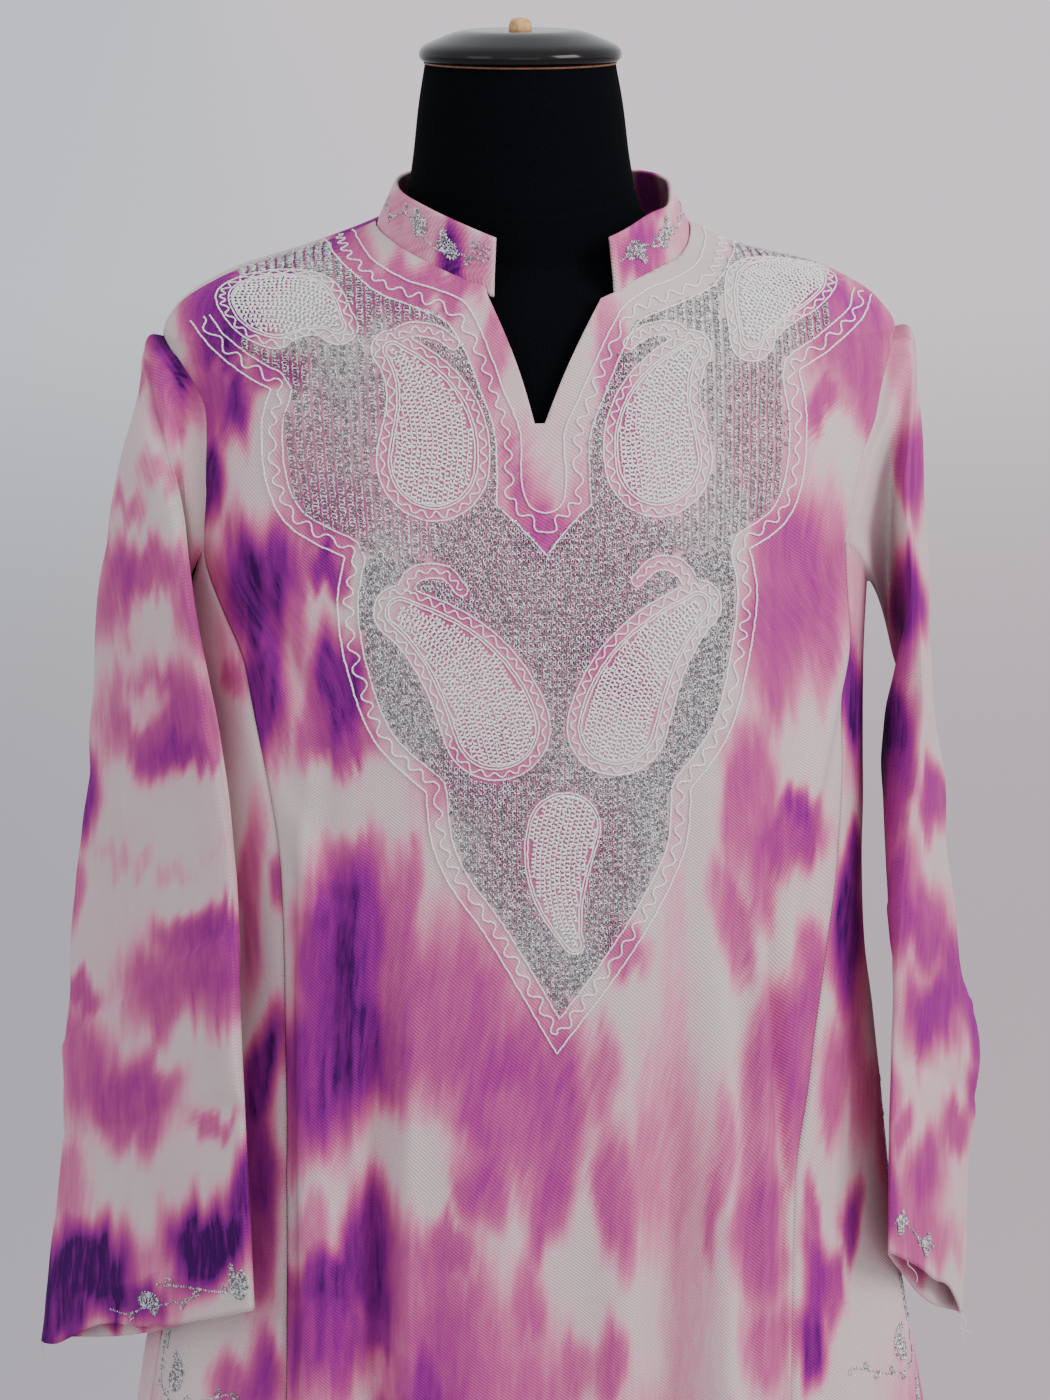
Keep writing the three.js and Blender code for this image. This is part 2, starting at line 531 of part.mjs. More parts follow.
// A sleeve: rings from the armhole's edge to the flat, slanted cuff.
function sleeve(side, stations) {
  const rows = 17;
  const joinShare = 0.14;
  const outReach = 16;
  const creaseSharpness = 0.72;
  const rowSpread = 1.45;
  const outer = [];
  const joins = [];
  for (let row = 0; row <= rows; row += 1) {
    const at = (row / rows) ** rowSpread;
    const value = (column) => along(stations, column, at, "at");
    const fore = new THREE.Vector3(value("foreX"), value("foreY"), value("foreZ"));
    const rear = new THREE.Vector3(value("rearX"), value("rearY"), value("rearZ"));
    const direction = (degrees) => new THREE.Vector3(Math.cos(radians(degrees)), Math.sin(radians(degrees)), 0);
    const outwards = direction(value("facing")).multiplyScalar(value("outer"));
    const inwards = direction(value("tuck")).multiplyScalar(-value("inner"));
    const joined = 1 - smoothStep(at / joinShare);
    outer.push([]);
    joins.push([]);
    for (let column = 0; column < sleeveColumns; column += 1) {
      const share = column / sleeveColumns;
      const angle = 2 * Math.PI * share;
      const bow = Math.sin(angle) > 0 ? outwards : inwards;
      const flat = fore.clone().lerp(rear, (1 - Math.cos(angle)) / 2);
      flat.addScaledVector(bow, Math.abs(Math.sin(angle)) ** creaseSharpness);
      const { point, normal } = armholeEdge(side, share);
      point.x += side * outReach * Math.min(1, at / joinShare);
      outer[row].push(flat.lerp(point, joined));
      joins[row].push({ normal, joined });
    }
  }
  const wrap = (column) => (column + sleeveColumns) % sleeveColumns;
  const inner = outer.map((ring, row) =>
    ring.map((point, column) => {
      const round = ring[wrap(column + 1)].clone().sub(ring[wrap(column - 1)]);
      const downwards = outer[Math.min(row + 1, rows)][column].clone().sub(outer[Math.max(row - 1, 0)][column]);
      const own = downwards.cross(round).normalize().multiplyScalar(side);
      const { normal, joined } = joins[row][column];
      return point.clone().addScaledVector(own.lerp(normal, joined).normalize(), -sleeveThickness);
    }),
  );
  const bands = [];
  for (let row = 0; row < rows; row += 1) {
    const pair = side > 0 ? [row + 1, row] : [row, row + 1];
    bands.push(solidOf(wallGeometry(pair.map((index) => outer[index]), pair.map((index) => inner[index]), true)));
  }
  return geometryOf(wasm.Manifold.union(bands));
}

// The height at which the worn shoulders pass over a place near the neck.
function shoulderHeight(x, y) {
  let low = shoulderTipZ;
  let high = bodyRings.at(-1).z;
  const steps = 30;
  for (let step = 0; step < steps; step += 1) {
    const middle = (low + high) / 2;
    const ring = bodyRingAt(middle);
    const inFront = y < ring.centreY;
    const power = inFront ? ring.power : ring.backPower;
    const across = Math.abs(x) / (x < 0 ? ring.left : ring.right);
    const ahead = Math.abs(y - ring.centreY) / (inFront ? ring.front : ring.back);
    if (across ** power + ahead ** power < 1) low = middle;
    else high = middle;
  }
  return low;
}

// The band collar, split at the front and waved where it is eased in.
function collar() {
  const columns = 34;
  const levels = [0, 0.35, 0.7, 1];
  const ringAt = (level, inwards) => {
    const ring = [];
    for (let column = 0; column <= columns; column += 1) {
      const turn = lerp(collarStartTurn, collarEndTurn, column / columns);
      const fromFront = turn > 180 ? 360 - turn : turn;
      const nearWave = Math.exp(-(((turn - collarWave.centreTurn) / collarWave.spread) ** 2));
      const wave = collarWave.lift * nearWave * Math.sin(radians(turn * collarWave.waves));
      const across = Math.sin(radians(turn));
      const ahead = -Math.cos(radians(turn));
      const edge = (reach) => ({
        x: neckCentre + (neckHalfWidth - reach) * across,
        y: (neckHalfDepth - reach) * ahead,
      });
      const foot = edge(seamGap);
      const bottomZ = shoulderHeight(foot.x, foot.y) - collarSink;
      const lean = (along(collarProfile, "lean", fromFront, "turn") - wave) * level;
      const { x, y } = edge(seamGap + lean + inwards);
      ring.push(new THREE.Vector3(x, y, bottomZ + along(collarProfile, "height", fromFront, "turn") * level));
    }
    return ring;
  };
  return wallGeometry(
    levels.map((level) => ringAt(level, 0)),
    levels.map((level) => ringAt(level, collarThickness)),
  );
}

// A solid stack of rings, closed at both ends.
function stackedSolid(rings, columns) {
  const points = [];
  for (const ring of rings) {
    const even = { ...ring, backPower: ring.power, centreY: 0 };
    for (let column = 0; column < columns; column += 1) {
      const { x, y } = ringPoint(even, (column / columns) * 360 - 180);
      points.push(x, y, ring.z);
    }
  }
  const faces = [];
  const at = (row, column) => row * columns + (column % columns);
  for (let row = 0; row < rings.length - 1; row += 1) {
    for (let column = 0; column < columns; column += 1) {
      faces.push(at(row, column), at(row, column + 1), at(row + 1, column + 1));
      faces.push(at(row, column), at(row + 1, column + 1), at(row + 1, column));
    }
  }
  const bottom = points.length / 3;
  points.push(0, 0, rings[0].z);
  const top = bottom + 1;
  points.push(0, 0, rings.at(-1).z);
  for (let column = 0; column < columns; column += 1) {
    faces.push(bottom, at(0, column + 1), at(0, column));
    faces.push(top, at(rings.length - 1, column), at(rings.length - 1, column + 1));
  }
  const geometry = new THREE.BufferGeometry();
  geometry.setAttribute("position", new THREE.Float32BufferAttribute(points, 3));
  geometry.setIndex(faces);
  return geometry;
}

// A turned piece from its profile of radii and heights, upright at centreX.
function turned(profile, centreX = 0) {
  const outline = [new THREE.Vector2(0, profile[0].z)];
  for (const { radius, z } of profile) outline.push(new THREE.Vector2(radius, z));
  outline.push(new THREE.Vector2(0, profile.at(-1).z));
  const geometry = new THREE.LatheGeometry(outline, roundSides);
  geometry.rotateX(Math.PI / 2);
  geometry.translate(centreX, 0, 0);
  return geometry;
}

function named(name, geometry, color, roughness, metalness = 0) {
  const mesh = new THREE.Mesh(geometry, new THREE.MeshStandardMaterial({ color, roughness, metalness }));
  mesh.name = name;
  return mesh;
}

const garment = new THREE.Group();
garment.add(named("front_panel", frontPanel(), colours.cloth, 0.9));
garment.add(named("back_panel", backPanel(), colours.cloth, 0.9));
for (const [sideName, side] of [["left", -1], ["right", 1]]) {
  garment.add(named(`gore_${sideName}_front`, gore(side, -1), colours.cloth, 0.9));
  garment.add(named(`gore_${sideName}_back`, gore(side, 1), colours.cloth, 0.9));
}
garment.add(named("sleeve_left", sleeve(-1, leftSleeveStations), colours.cloth, 0.9));
garment.add(named("sleeve_right", sleeve(1, rightSleeveStations), colours.cloth, 0.9));
garment.add(named("collar", collar(), colours.collar, 0.9));

const capTopZ = capProfile.at(-1).z;
const dressForm = new THREE.Group();
dressForm.add(named("form_torso", stackedSolid(formRings, formColumns), colours.form, 0.85));
dressForm.add(named("form_neck_cap", turned(capProfile, neckCentreX), colours.cap, 0.15));
const finialBottomZ = capTopZ + finial.gap;
dressForm.add(
  named(
    "form_finial",
    turned(
      [
        { radius: finial.radius, z: finialBottomZ },
        { radius: finial.radius, z: finialBottomZ + finial.height },
      ],
      neckCentreX,
    ),
    colours.wood,
    0.6,
  ),
);
dressForm.add(
  named(
    "stand_pole",
    turned([
      { radius: pole.radius, z: pole.bottomZ + base.bossHeight },
      { radius: pole.radius, z: pole.topZ },
    ]),
    colours.steel,
    0.35,
    0.8,
  ),
);
dressForm.add(
  named(
    "stand_base",
    turned([
      { radius: base.radius, z: 0 },
      { radius: base.radius, z: base.height - base.bevel },
      { radius: base.radius - base.bevel, z: base.height },
      { radius: base.boss, z: base.height },
      { radius: base.boss - base.bossTaper, z: base.height + base.bossHeight },
    ]),
    colours.steel,
    0.5,
    0.6,
  ),
);

const part = new THREE.Group();
part.add(garment, dressForm);
export default part;
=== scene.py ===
"""The looks of an embroidered, tie-dyed pheran worn by a limbless dress form on its stand.

Sizes are in millimetres in the tables and turned into metres when a mesh is made. +Z is up and the front faces -Y.
"Left" and "right" are as seen from the front.
"""

import logging
import math
from dataclasses import dataclass, field
from enum import Enum
from typing import Callable, Iterable, Sequence

import bpy
import numpy as np
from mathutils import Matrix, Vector

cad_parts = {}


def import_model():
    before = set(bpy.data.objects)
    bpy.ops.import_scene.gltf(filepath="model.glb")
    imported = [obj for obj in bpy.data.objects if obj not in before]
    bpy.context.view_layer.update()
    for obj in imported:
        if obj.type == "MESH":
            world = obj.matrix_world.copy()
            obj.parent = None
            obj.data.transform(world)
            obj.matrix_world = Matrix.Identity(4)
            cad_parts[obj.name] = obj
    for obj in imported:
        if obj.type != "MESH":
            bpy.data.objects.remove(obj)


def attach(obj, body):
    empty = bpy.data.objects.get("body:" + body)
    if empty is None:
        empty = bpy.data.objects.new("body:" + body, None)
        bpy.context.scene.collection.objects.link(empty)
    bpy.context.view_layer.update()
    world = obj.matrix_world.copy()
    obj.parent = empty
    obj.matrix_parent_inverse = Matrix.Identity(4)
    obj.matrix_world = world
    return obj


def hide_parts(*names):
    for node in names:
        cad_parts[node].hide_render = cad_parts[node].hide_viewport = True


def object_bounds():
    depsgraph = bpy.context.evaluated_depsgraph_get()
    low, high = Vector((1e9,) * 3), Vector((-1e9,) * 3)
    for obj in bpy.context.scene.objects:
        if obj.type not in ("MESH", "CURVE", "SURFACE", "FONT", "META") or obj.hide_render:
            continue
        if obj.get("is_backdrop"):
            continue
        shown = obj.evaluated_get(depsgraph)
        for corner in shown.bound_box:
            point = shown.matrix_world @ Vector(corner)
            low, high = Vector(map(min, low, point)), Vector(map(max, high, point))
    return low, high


LOG = logging.getLogger("pheran")
METRE = 0.001
Array = np.ndarray
Colour = tuple[float, float, float, float]
Inputs = dict[str | int, object]
Place = tuple[float, float]
Piece = bpy.types.Object
Material = bpy.types.Material
Socket = bpy.types.NodeSocket


# Numbers along tables


class Table:
    """Rows of named sizes, each column read as a smooth curve that never overshoots its rows."""

    def __init__(self, names: str, *rows: Sequence[float]) -> None:
        """Keep the rows. The first name is the key that the rows are ordered by.

        Args:
            names: column names, parted by spaces.
            rows: one sequence of numbers per row.
        """
        self.names = names.split()
        self.rows = np.array(rows, float)

    def column(self, name: str) -> Array:
        """Return one column's raw values."""
        return self.rows[:, self.names.index(name)]

    def at(self, name: str, place: Array) -> Array:
        """Read a column at places along the key.

        Args:
            name: the column.
            place: key values, of any shape.

        Returns:
            The column's values there.
        """
        keys = self.rows[:, 0]
        values = self.column(name)
        slope = np.diff(values) / np.diff(keys)
        tangent = np.empty(len(values))
        tangent[0], tangent[-1] = slope[0], slope[-1]
        before, after = slope[:-1], slope[1:]
        total = np.where(before * after > 0, before + after, 1)
        tangent[1:-1] = np.where(before * after > 0, 2 * before * after / total, 0)
        place = np.asarray(place, float)
        row = np.clip(np.searchsorted(keys, place, side="left") - 1, 0, len(keys) - 2)
        span = keys[row + 1] - keys[row]
        share = np.clip((place - keys[row]) / span, 0, 1)
        return curve(values[row], values[row + 1], span * tangent[row], span * tangent[row + 1], share)

    def pick(self, first: Array, name: str, other: str, place: Array) -> Array:
        """Read one column where a test holds, and another one elsewhere."""
        return np.where(first, self.at(name, place), self.at(other, place))


def curve(start: Array, end: Array, leaving: Array, arriving: Array, share: Array) -> Array:
    """Return places on a smooth curve between two points.

    Args:
        start: the first point.
        end: the last one.
        leaving: the curve's direction and speed at the start.
        arriving: the same at the end.
        share: 0 at the start to 1 at the end.

    Returns:
        The places.
    """
    square, cube = share**2, share**3
    return (
        (2 * cube - 3 * square + 1) * start + (cube - 2 * square + share) * leaving
        + (3 * square - 2 * cube) * end + (cube - square) * arriving
    )


def hump(distance: Array, width: Array | float) -> Array:
    """Return a smooth hump: 1 at no distance, and falling away over a width."""
    return np.exp(-((distance / width) ** 2))


def smooth_step(value: Array) -> Array:
    """Return 0 below 0, 1 above 1 and a smooth rise between."""
    held = np.clip(value, 0, 1)
    return held * held * (3 - 2 * held)


def unit(vectors: Array) -> Array:
    """Return the vectors at length one."""
    return vectors / np.maximum(np.linalg.norm(vectors, axis=-1, keepdims=True), 1e-9)


class Noise:
    """Smooth random values over a plane, the same at every run."""

    def __init__(self, seed: int) -> None:
        """Draw the lattice.

        Args:
            seed: which of the endless patterns.
        """
        self.lattice = np.random.default_rng(seed).uniform(-1, 1, (64, 64))

    def at(self, x: Array, y: Array, width: float, height: float) -> Array:
        """Read the noise.

        Args:
            x: places across.
            y: places up.
            width: size of a patch across.
            height: size of a patch upwards.

        Returns:
            Values between -1 and 1.
        """
        across, up = np.asarray(x) / width, np.asarray(y) / height
        column, row = np.floor(across).astype(int), np.floor(up).astype(int)
        right, top = smooth_step(across - column), smooth_step(up - row)
        corner = lambda i, j: self.lattice[(row + j) % 64, (column + i) % 64]
        low = corner(0, 0) * (1 - right) + corner(1, 0) * right
        high = corner(0, 1) * (1 - right) + corner(1, 1) * right
        return low * (1 - top) + high * top


# The worn shape, the same as the part's own solids


class Face(Enum):
    """The side of the body that a piece hangs on."""

    FRONT = -1
    BACK = 1


@dataclass
class WornBody:
    """The cloth as it hangs on the form: rings with folds, creases and a slight unevenness."""

    hem_z: float = 360.0
    hem_depth: float = 16.0
    hem_lift: float = 0.5
    seam_roll: float = 0.8
    seam_roll_width: float = 2.0
    plateau_lift: float = 15.0
    plateau_top_z: float = 1150.0
    shoulder_lift: float = 7.5
    shoulder_foot_z: float = 1296.0
    neck_foot_z: float = 1400.0
    underarm_z: float = 1232.0
    underarm_dip: float = 33.0
    shoulder_tip_z: float = 1338.0
    rings: Table = Table(
        "z left right front back power back_power centre_y",
        (360, 272, 282, 122, 148, 2.25, 2.25, 0), (600, 240, 250, 121, 134, 2.3, 2.3, 0),
        (754, 219, 226, 119, 124, 2.3, 2.3, 0), (850, 204, 210, 118, 118, 2.3, 2.3, 0),
        (950, 192, 198, 118, 114, 2.3, 2.3, 0), (1030, 187, 190, 122, 112, 2.3, 2.3, 0),
        (1150, 187, 187, 128, 112, 2.25, 2.3, 0), (1232, 188, 190, 117, 112, 2.2, 2.3, 0),
        (1300, 183, 197, 103, 107, 2, 2.3, 4), (1338, 187, 197, 97, 96, 1.85, 2.3, 8),
        (1354, 179, 187, 94, 91, 1.75, 2.2, 10), (1370, 154, 161, 88, 86, 1.7, 2.1, 10),
        (1384, 112, 110, 80, 78, 1.7, 2, 10), (1398, 80, 88, 67, 65, 1.7, 2, 9), (1416, 46, 48, 42, 42, 1.8, 2, 8),
    )
    panel_edges: Table = Table(
        "z left_front right_front left_back right_back",
        (360, 150, 147, 150, 150), (778, 141, 138, 148, 148), (875, 139, 139, 149, 149), (930, 138, 147, 150, 150),
        (1005, 138, 158, 152, 152), (1063, 139, 165, 156, 156), (1170, 156, 168, 164, 164),
        (1232, 177, 168, 172, 174), (1270, 175, 176, 173, 181), (1300, 174, 189, 174, 190),
        (1338, 187, 197, 187, 197),
    )
    side_seams: Table = Table("z turn", (360, 75), (770, 77), (900, 82), (1080, 90), (1404, 90))
    plateau: Table = Table(
        "z left right", (360, -141, 137), (778, -132, 129), (875, -130, 127), (1000, -129, 119), (1150, -128, 110)
    )
    panel_folds: Table = Table(
        "face top_x hem_x lift width start_z full_z",
        (-1, -84, -105, -19, 11, 1110, 840), (-1, -42, -50, 10, 20, 1060, 640), (-1, 12, 14, -13, 17, 960, 520),
        (-1, 62, 68, -15, 14, 1090, 680), (-1, 92, 104, 11, 12, 1060, 740), (1, -104, -122, 14, 22, 1200, 560),
        (1, -58, -64, -13, 20, 1200, 520), (1, -4, -8, 15, 25, 1160, 500), (1, 54, 60, -13, 20, 1200, 520),
        (1, 102, 118, 14, 22, 1200, 560),
    )
    gore_folds: Table = Table(
        "top_turn hem_turn lift width start_z full_z",
        (70, 55, 12, 8, 900, 560), (80, 88, 9, 9, 800, 400), (112, 106, -12, 8, 1150, 600),
        (132, 128, 12, 9, 1150, 560), (-66, -54, 12, 8, 880, 560), (-80, -88, 9, 9, 800, 400),
        (-112, -106, -12, 8, 1150, 600), (-132, -128, 12, 9, 1150, 560),
    )
    creases: Table = Table(
        "face x z end_x end_z lift width",
        (-1, -172, 1262, -118, 1148, -3.4, 6), (-1, -168, 1222, -124, 1090, -4.2, 7),
        (-1, -150, 1190, -112, 1020, 3.0, 7), (-1, 168, 1240, 116, 1110, -3.0, 7),
        (-1, 174, 1204, 130, 1050, 3.0, 8), (-1, 172, 1180, 142, 1010, -3.0, 6), (-1, -98, 1092, -96, 620, 4.6, 4.2),
        (-1, -70, 1040, -80, 600, 2.2, 6), (-1, 98, 1070, 102, 690, -2.8, 4.5), (-1, 134, 1044, 140, 620, 2.6, 4),
        (-1, -107, 1080, -106, 640, -3.0, 6), (-1, -139, 1066, -98, 1056, -1.3, 3),
        (-1, -136, 1052, -104, 1047, 1.1, 3), (-1, 72, 1120, 68, 640, -3.0, 10), (-1, 108, 1090, 118, 640, 5.0, 5),
        (-1, 120, 1060, 128, 660, -4.6, 5), (-1, 40, 1000, 34, 600, 2.0, 12), (-1, -20, 930, -26, 560, 2.4, 12),
        (-1, -52, 900, -60, 520, -2.4, 12), (-1, 118, 1236, 108, 1130, 1.5, 6), (-1, -142, 1340, -96, 1300, -1.3, 9),
        (-1, 148, 1330, 104, 1290, -1.3, 9), (-1, -118, 1150, -112, 1060, -2.0, 6),
        (1, -168, 1270, -92, 1160, -3.4, 9), (1, 168, 1262, 96, 1150, -3.4, 9), (1, -150, 1180, -110, 980, 3.0, 11),
        (1, 150, 1190, 104, 990, 3.0, 11), (1, -30, 1190, -34, 760, -2.6, 13), (1, 34, 1180, 30, 700, 2.6, 13),
        (1, -80, 1335, 84, 1331, -1.6, 14),
    )
    mm_per_degree: float = 2.3
    uneven: Noise = Noise(11)

    def relief(self, turn: Array, x: Array, z: Array) -> Array:
        """Return how far folds and creases lift the cloth off its plain ring.

        Args:
            turn: degrees round from the front.
            x: distance from the middle line.
            z: height.

        Returns:
            The lift, outwards.
        """
        face = np.where(np.abs(turn) <= 90, -1, 1)
        growth = smooth_step((self.plateau_top_z - z) / 190)
        from_left = smooth_step((x - self.plateau.at("left", z)) / 9 + 0.5)
        from_right = smooth_step((self.plateau.at("right", z) - x) / 9 + 0.5)
        lift = np.where(face < 0, self.plateau_lift * growth * from_left * from_right, 0)
        for side, top, hem, height, width, start, full in self.panel_folds.rows:
            middle = hem + (top - hem) * np.clip((z - self.hem_z) / (start - self.hem_z), 0, 1)
            grown = height * smooth_step((start - z) / (start - full))
            lift += np.where(face == side, grown * hump(x - middle, width), 0)
        for top, hem, height, width, start, full in self.gore_folds.rows:
            middle = hem + (top - hem) * np.clip((z - self.hem_z) / (start - self.hem_z), 0, 1)
            grown = height * smooth_step((start - z) / (start - full))
            lift += grown * hump(turn - middle, width)
        for side, x0, z0, x1, z1, height, width in self.creases.rows:
            along = ((x - x0) * (x1 - x0) + (z - z0) * (z1 - z0)) / ((x1 - x0) ** 2 + (z1 - z0) ** 2)
            held = np.clip(along, 0, 1)
            away = np.hypot(x - x0 - held * (x1 - x0), z - z0 - held * (z1 - z0))
            soft = smooth_step(np.minimum(along, 1 - along) * 3 + 0.3)
            lift += np.where(face == side, height * soft * hump(away, width), 0)
        shoulder = smooth_step((z - self.shoulder_foot_z) / 42) * smooth_step((self.neck_foot_z - z) / 24)
        lift += self.shoulder_lift * shoulder * hump(np.abs(turn) - 100, 30)
        round_mm = turn * self.mm_per_degree
        lift += 1.3 * self.uneven.at(round_mm, z, 40, 100) + 0.42 * self.uneven.at(round_mm + 500, z, 13, 30)
        return lift

    def point(self, turn: Array, z: Array, extra: Array | float = 0.0) -> Array:
        """Return points on the outside of the worn cloth.

        Args:
            turn: degrees round from the front, 90 at the right.
            z: heights, of the same shape.
            extra: a further lift outwards.

        Returns:
            Points, with a last axis of three.
        """
        turn = (np.asarray(turn, float) + 180) % 360 - 180
        z = np.asarray(z, float) + 0 * turn
        across, ahead = np.sin(np.radians(turn)), np.cos(np.radians(turn))
        half = self.rings.pick(across < 0, "left", "right", z)
        depth = self.rings.pick(ahead > 0, "front", "back", z)
        power = self.rings.pick(ahead > 0, "power", "back_power", z)
        x = half * np.sign(across) * np.abs(across) ** (2 / power)
        y = -depth * np.sign(ahead) * np.abs(ahead) ** (2 / power)
        out_x = np.sign(x) * np.abs(x / half) ** (power - 1) / half
        out_y = np.sign(y) * np.abs(y / depth) ** (power - 1) / depth
        size = np.maximum(np.hypot(out_x, out_y), 1e-12)
        lift = self.relief(turn, x, z) + extra
        return np.stack(
            [x + lift * out_x / size, y + self.rings.at("centre_y", z) + lift * out_y / size, z], -1
        )

    def normal(self, turn: Array, z: Array) -> Array:
        """Return outward normals of the worn cloth.

        Args:
            turn: degrees round from the front.
            z: heights.

        Returns:
            Unit vectors.
        """
        around = self.point(turn + 1.2, z) - self.point(turn - 1.2, z)
        upwards = self.point(turn, z + 2) - self.point(turn, z - 2)
        return unit(np.cross(around, upwards))

    def turn_at(self, x: Array, face: Face, z: Array) -> Array:
        """Return the turn at which the cloth is x from the middle line.

        Args:
            x: distance from the middle line.
            face: front or back.
            z: heights.

        Returns:
            Turns in degrees.
        """
        half = self.rings.pick(x < 0, "left", "right", z)
        share = np.clip(np.abs(x) / half, 0, 1)
        power = self.rings.at("power" if face is Face.FRONT else "back_power", z)
        turn = np.degrees(np.arcsin(share ** (power / 2)))
        return np.sign(x) * (turn if face is Face.FRONT else 180 - turn)

    def panel_edge_turn(self, side: int, face: Face, z: Array) -> Array:
        """Return the turn, without sign, at which a centre panel ends.

        Args:
            side: -1 for the left, 1 for the right.
            face: front or back.
            z: heights.

        Returns:
            Turns in degrees.
        """
        z = np.asarray(z, float)
        column = ("left" if side < 0 else "right") + ("_front" if face is Face.FRONT else "_back")
        held = np.minimum(z, self.shoulder_tip_z)
        turn = np.abs(self.turn_at(side * self.panel_edges.at(column, held), face, held))
        return np.where(z >= self.shoulder_tip_z, 90.0, turn)

    def per_degree(self, turn: Array, z: Array) -> Array:
        """Return the cloth's length per degree of turn."""
        step = self.point(turn + 0.5, z) - self.point(turn - 0.5, z)
        return np.maximum(np.linalg.norm(step, axis=-1), 0.2)

    def turned_edges(self, rolled: Array, z: Array) -> Array:
        """Return the lift of a sheet's edges: in where it rolls into a seam, and out at the hem's turning."""
        hem = self.hem_lift * smooth_step((self.hem_z + self.hem_depth - z) / 3)
        return hem - self.seam_roll * rolled

    def gore_top(self, share: Array) -> Array:
        """Return the height of a gore's top edge from the panel seam (0) to the side seam (1)."""
        return self.underarm_z - self.underarm_dip * np.sin(np.radians(90 * share))


@dataclass
class NeckCut:
    """The neck hole, an upright oval, and the V opening in the front."""

    half_width: float = 84.5
    half_depth: float = 80.3
    centre_x: float = 4.5
    notch_z: float = 1301.0
    top_z: float = 1369.0
    notch: Place = (-3.5, -0.5)
    top: Place = (-27.0, 34.0)
    bow: float = 2.2

    def in_hole(self, points: Array) -> Array:
        """Return which points lie inside the neck hole."""
        x = (points[..., 0] - self.centre_x) / self.half_width
        return (x**2 + (points[..., 1] / self.half_depth) ** 2 < 1) & (points[..., 2] > self.notch_z)

    def in_v(self, points: Array) -> Array:
        """Return which points lie inside the V opening.

        Args:
            points: the points.

        Returns:
            Whether each is inside.
        """
        x, y, z = points[..., 0], points[..., 1], points[..., 2]
        rise = np.clip((z - self.notch_z) / (self.top_z - self.notch_z), 0, 1)
        bow = self.bow * np.sin(np.pi * rise)
        left = self.notch[0] + (self.top[0] - self.notch[0]) * rise + bow
        right = self.notch[1] + (self.top[1] - self.notch[1]) * rise - bow
        return (y < 0) & (z > self.notch_z) & (x > left) & (x < right)

    def removed(self, points: Array) -> Array:
        """Return which points are cut away."""
        return self.in_hole(points) | self.in_v(points)


# Meshes


def make_object(name: str, vertices: Array, faces: Iterable[Sequence[int]] | Array) -> Piece:
    """Make a mesh object from points in millimetres.

    Args:
        name: the object's name.
        vertices: points, one row each.
        faces: vertex numbers of each face, all of one size if it is an array.

    Returns:
        The object, linked to the scene and smooth shaded.
    """
    mesh = bpy.data.meshes.new(name)
    faces = np.asarray(faces, np.int32)
    sides = faces.shape[1]
    mesh.vertices.add(len(vertices))
    mesh.vertices.foreach_set("co", (np.asarray(vertices, float) * METRE).astype(np.float32).ravel())
    mesh.loops.add(faces.size)
    mesh.loops.foreach_set("vertex_index", faces.ravel())
    mesh.polygons.add(len(faces))
    mesh.polygons.foreach_set("loop_start", np.arange(0, faces.size, sides, dtype=np.int32))
    mesh.polygons.foreach_set("use_smooth", np.ones(len(faces), bool))
    mesh.update(calc_edges=True)
    mesh.validate()
    piece = bpy.data.objects.new(name, mesh)
    bpy.context.scene.collection.objects.link(piece)
    return piece


def select_only(piece: Piece) -> None:
    """Make a piece the only selected and the active one.

    Args:
        piece: the piece.
    """
    bpy.ops.object.select_all(action="DESELECT")
    piece.select_set(True)
    bpy.context.view_layer.objects.active = piece


def apply_modifier(piece: Piece, kind: str, **settings: object) -> None:
    """Add a modifier to a piece and apply it.

    Args:
        piece: the piece.
        kind: the modifier's type.
        settings: its values.
    """
    select_only(piece)
    modifier = piece.modifiers.new(kind.title(), kind)
    for key, value in settings.items():
        setattr(modifier, key, value)
    bpy.ops.object.modifier_apply(modifier=modifier.name)


def grid_faces(rows: int, columns: int, closed: bool = False) -> Array:
    """Return the four-sided faces of a grid of points.

    Args:
        rows: rows of points.
        columns: points in a row.
        closed: whether the last column joins the first.

    Returns:
        Vertex numbers, four for each face, that face outwards when columns run with the turn and rows upwards.
    """
    row, column = np.meshgrid(np.arange(rows - 1), np.arange(columns if closed else columns - 1), indexing="ij")
    ahead = (column + 1) % columns
    return np.stack(
        [row * columns + column, row * columns + ahead, (row + 1) * columns + ahead, (row + 1) * columns + column], -1
    ).reshape(-1, 4)


def lengths_along(points: Array, axis: int) -> Array:
    """Return the running length of a grid of points along one of its axes.

    Args:
        points: the grid.
        axis: the axis.

    Returns:
        The lengths, 0 at the start.
    """
    step = np.linalg.norm(np.diff(points, axis=axis), axis=-1)
    start = np.zeros_like(np.take(step, [0], axis=axis))
    return np.concatenate([start, np.cumsum(step, axis=axis)], axis=axis)


def store(piece: Piece, name: str, values: Array) -> None:
    """Keep a value for each vertex of a piece under a name."""
    attribute = piece.data.attributes.new(name, "FLOAT", "POINT")
    attribute.data.foreach_set("value", np.asarray(values, np.float32).ravel())


def store_flat(piece: Piece, flat: Array) -> None:
    """Keep a piece's flat cloth coordinates, in metres, as its UV map.

    Args:
        piece: the piece.
        flat: the coordinates of each vertex, in millimetres.
    """
    layer = piece.data.uv_layers.new(name="Cloth")
    index = np.empty(len(piece.data.loops), np.int32)
    piece.data.loops.foreach_get("vertex_index", index)
    layer.data.foreach_set("uv", (flat[index] * METRE).astype(np.float32).ravel())


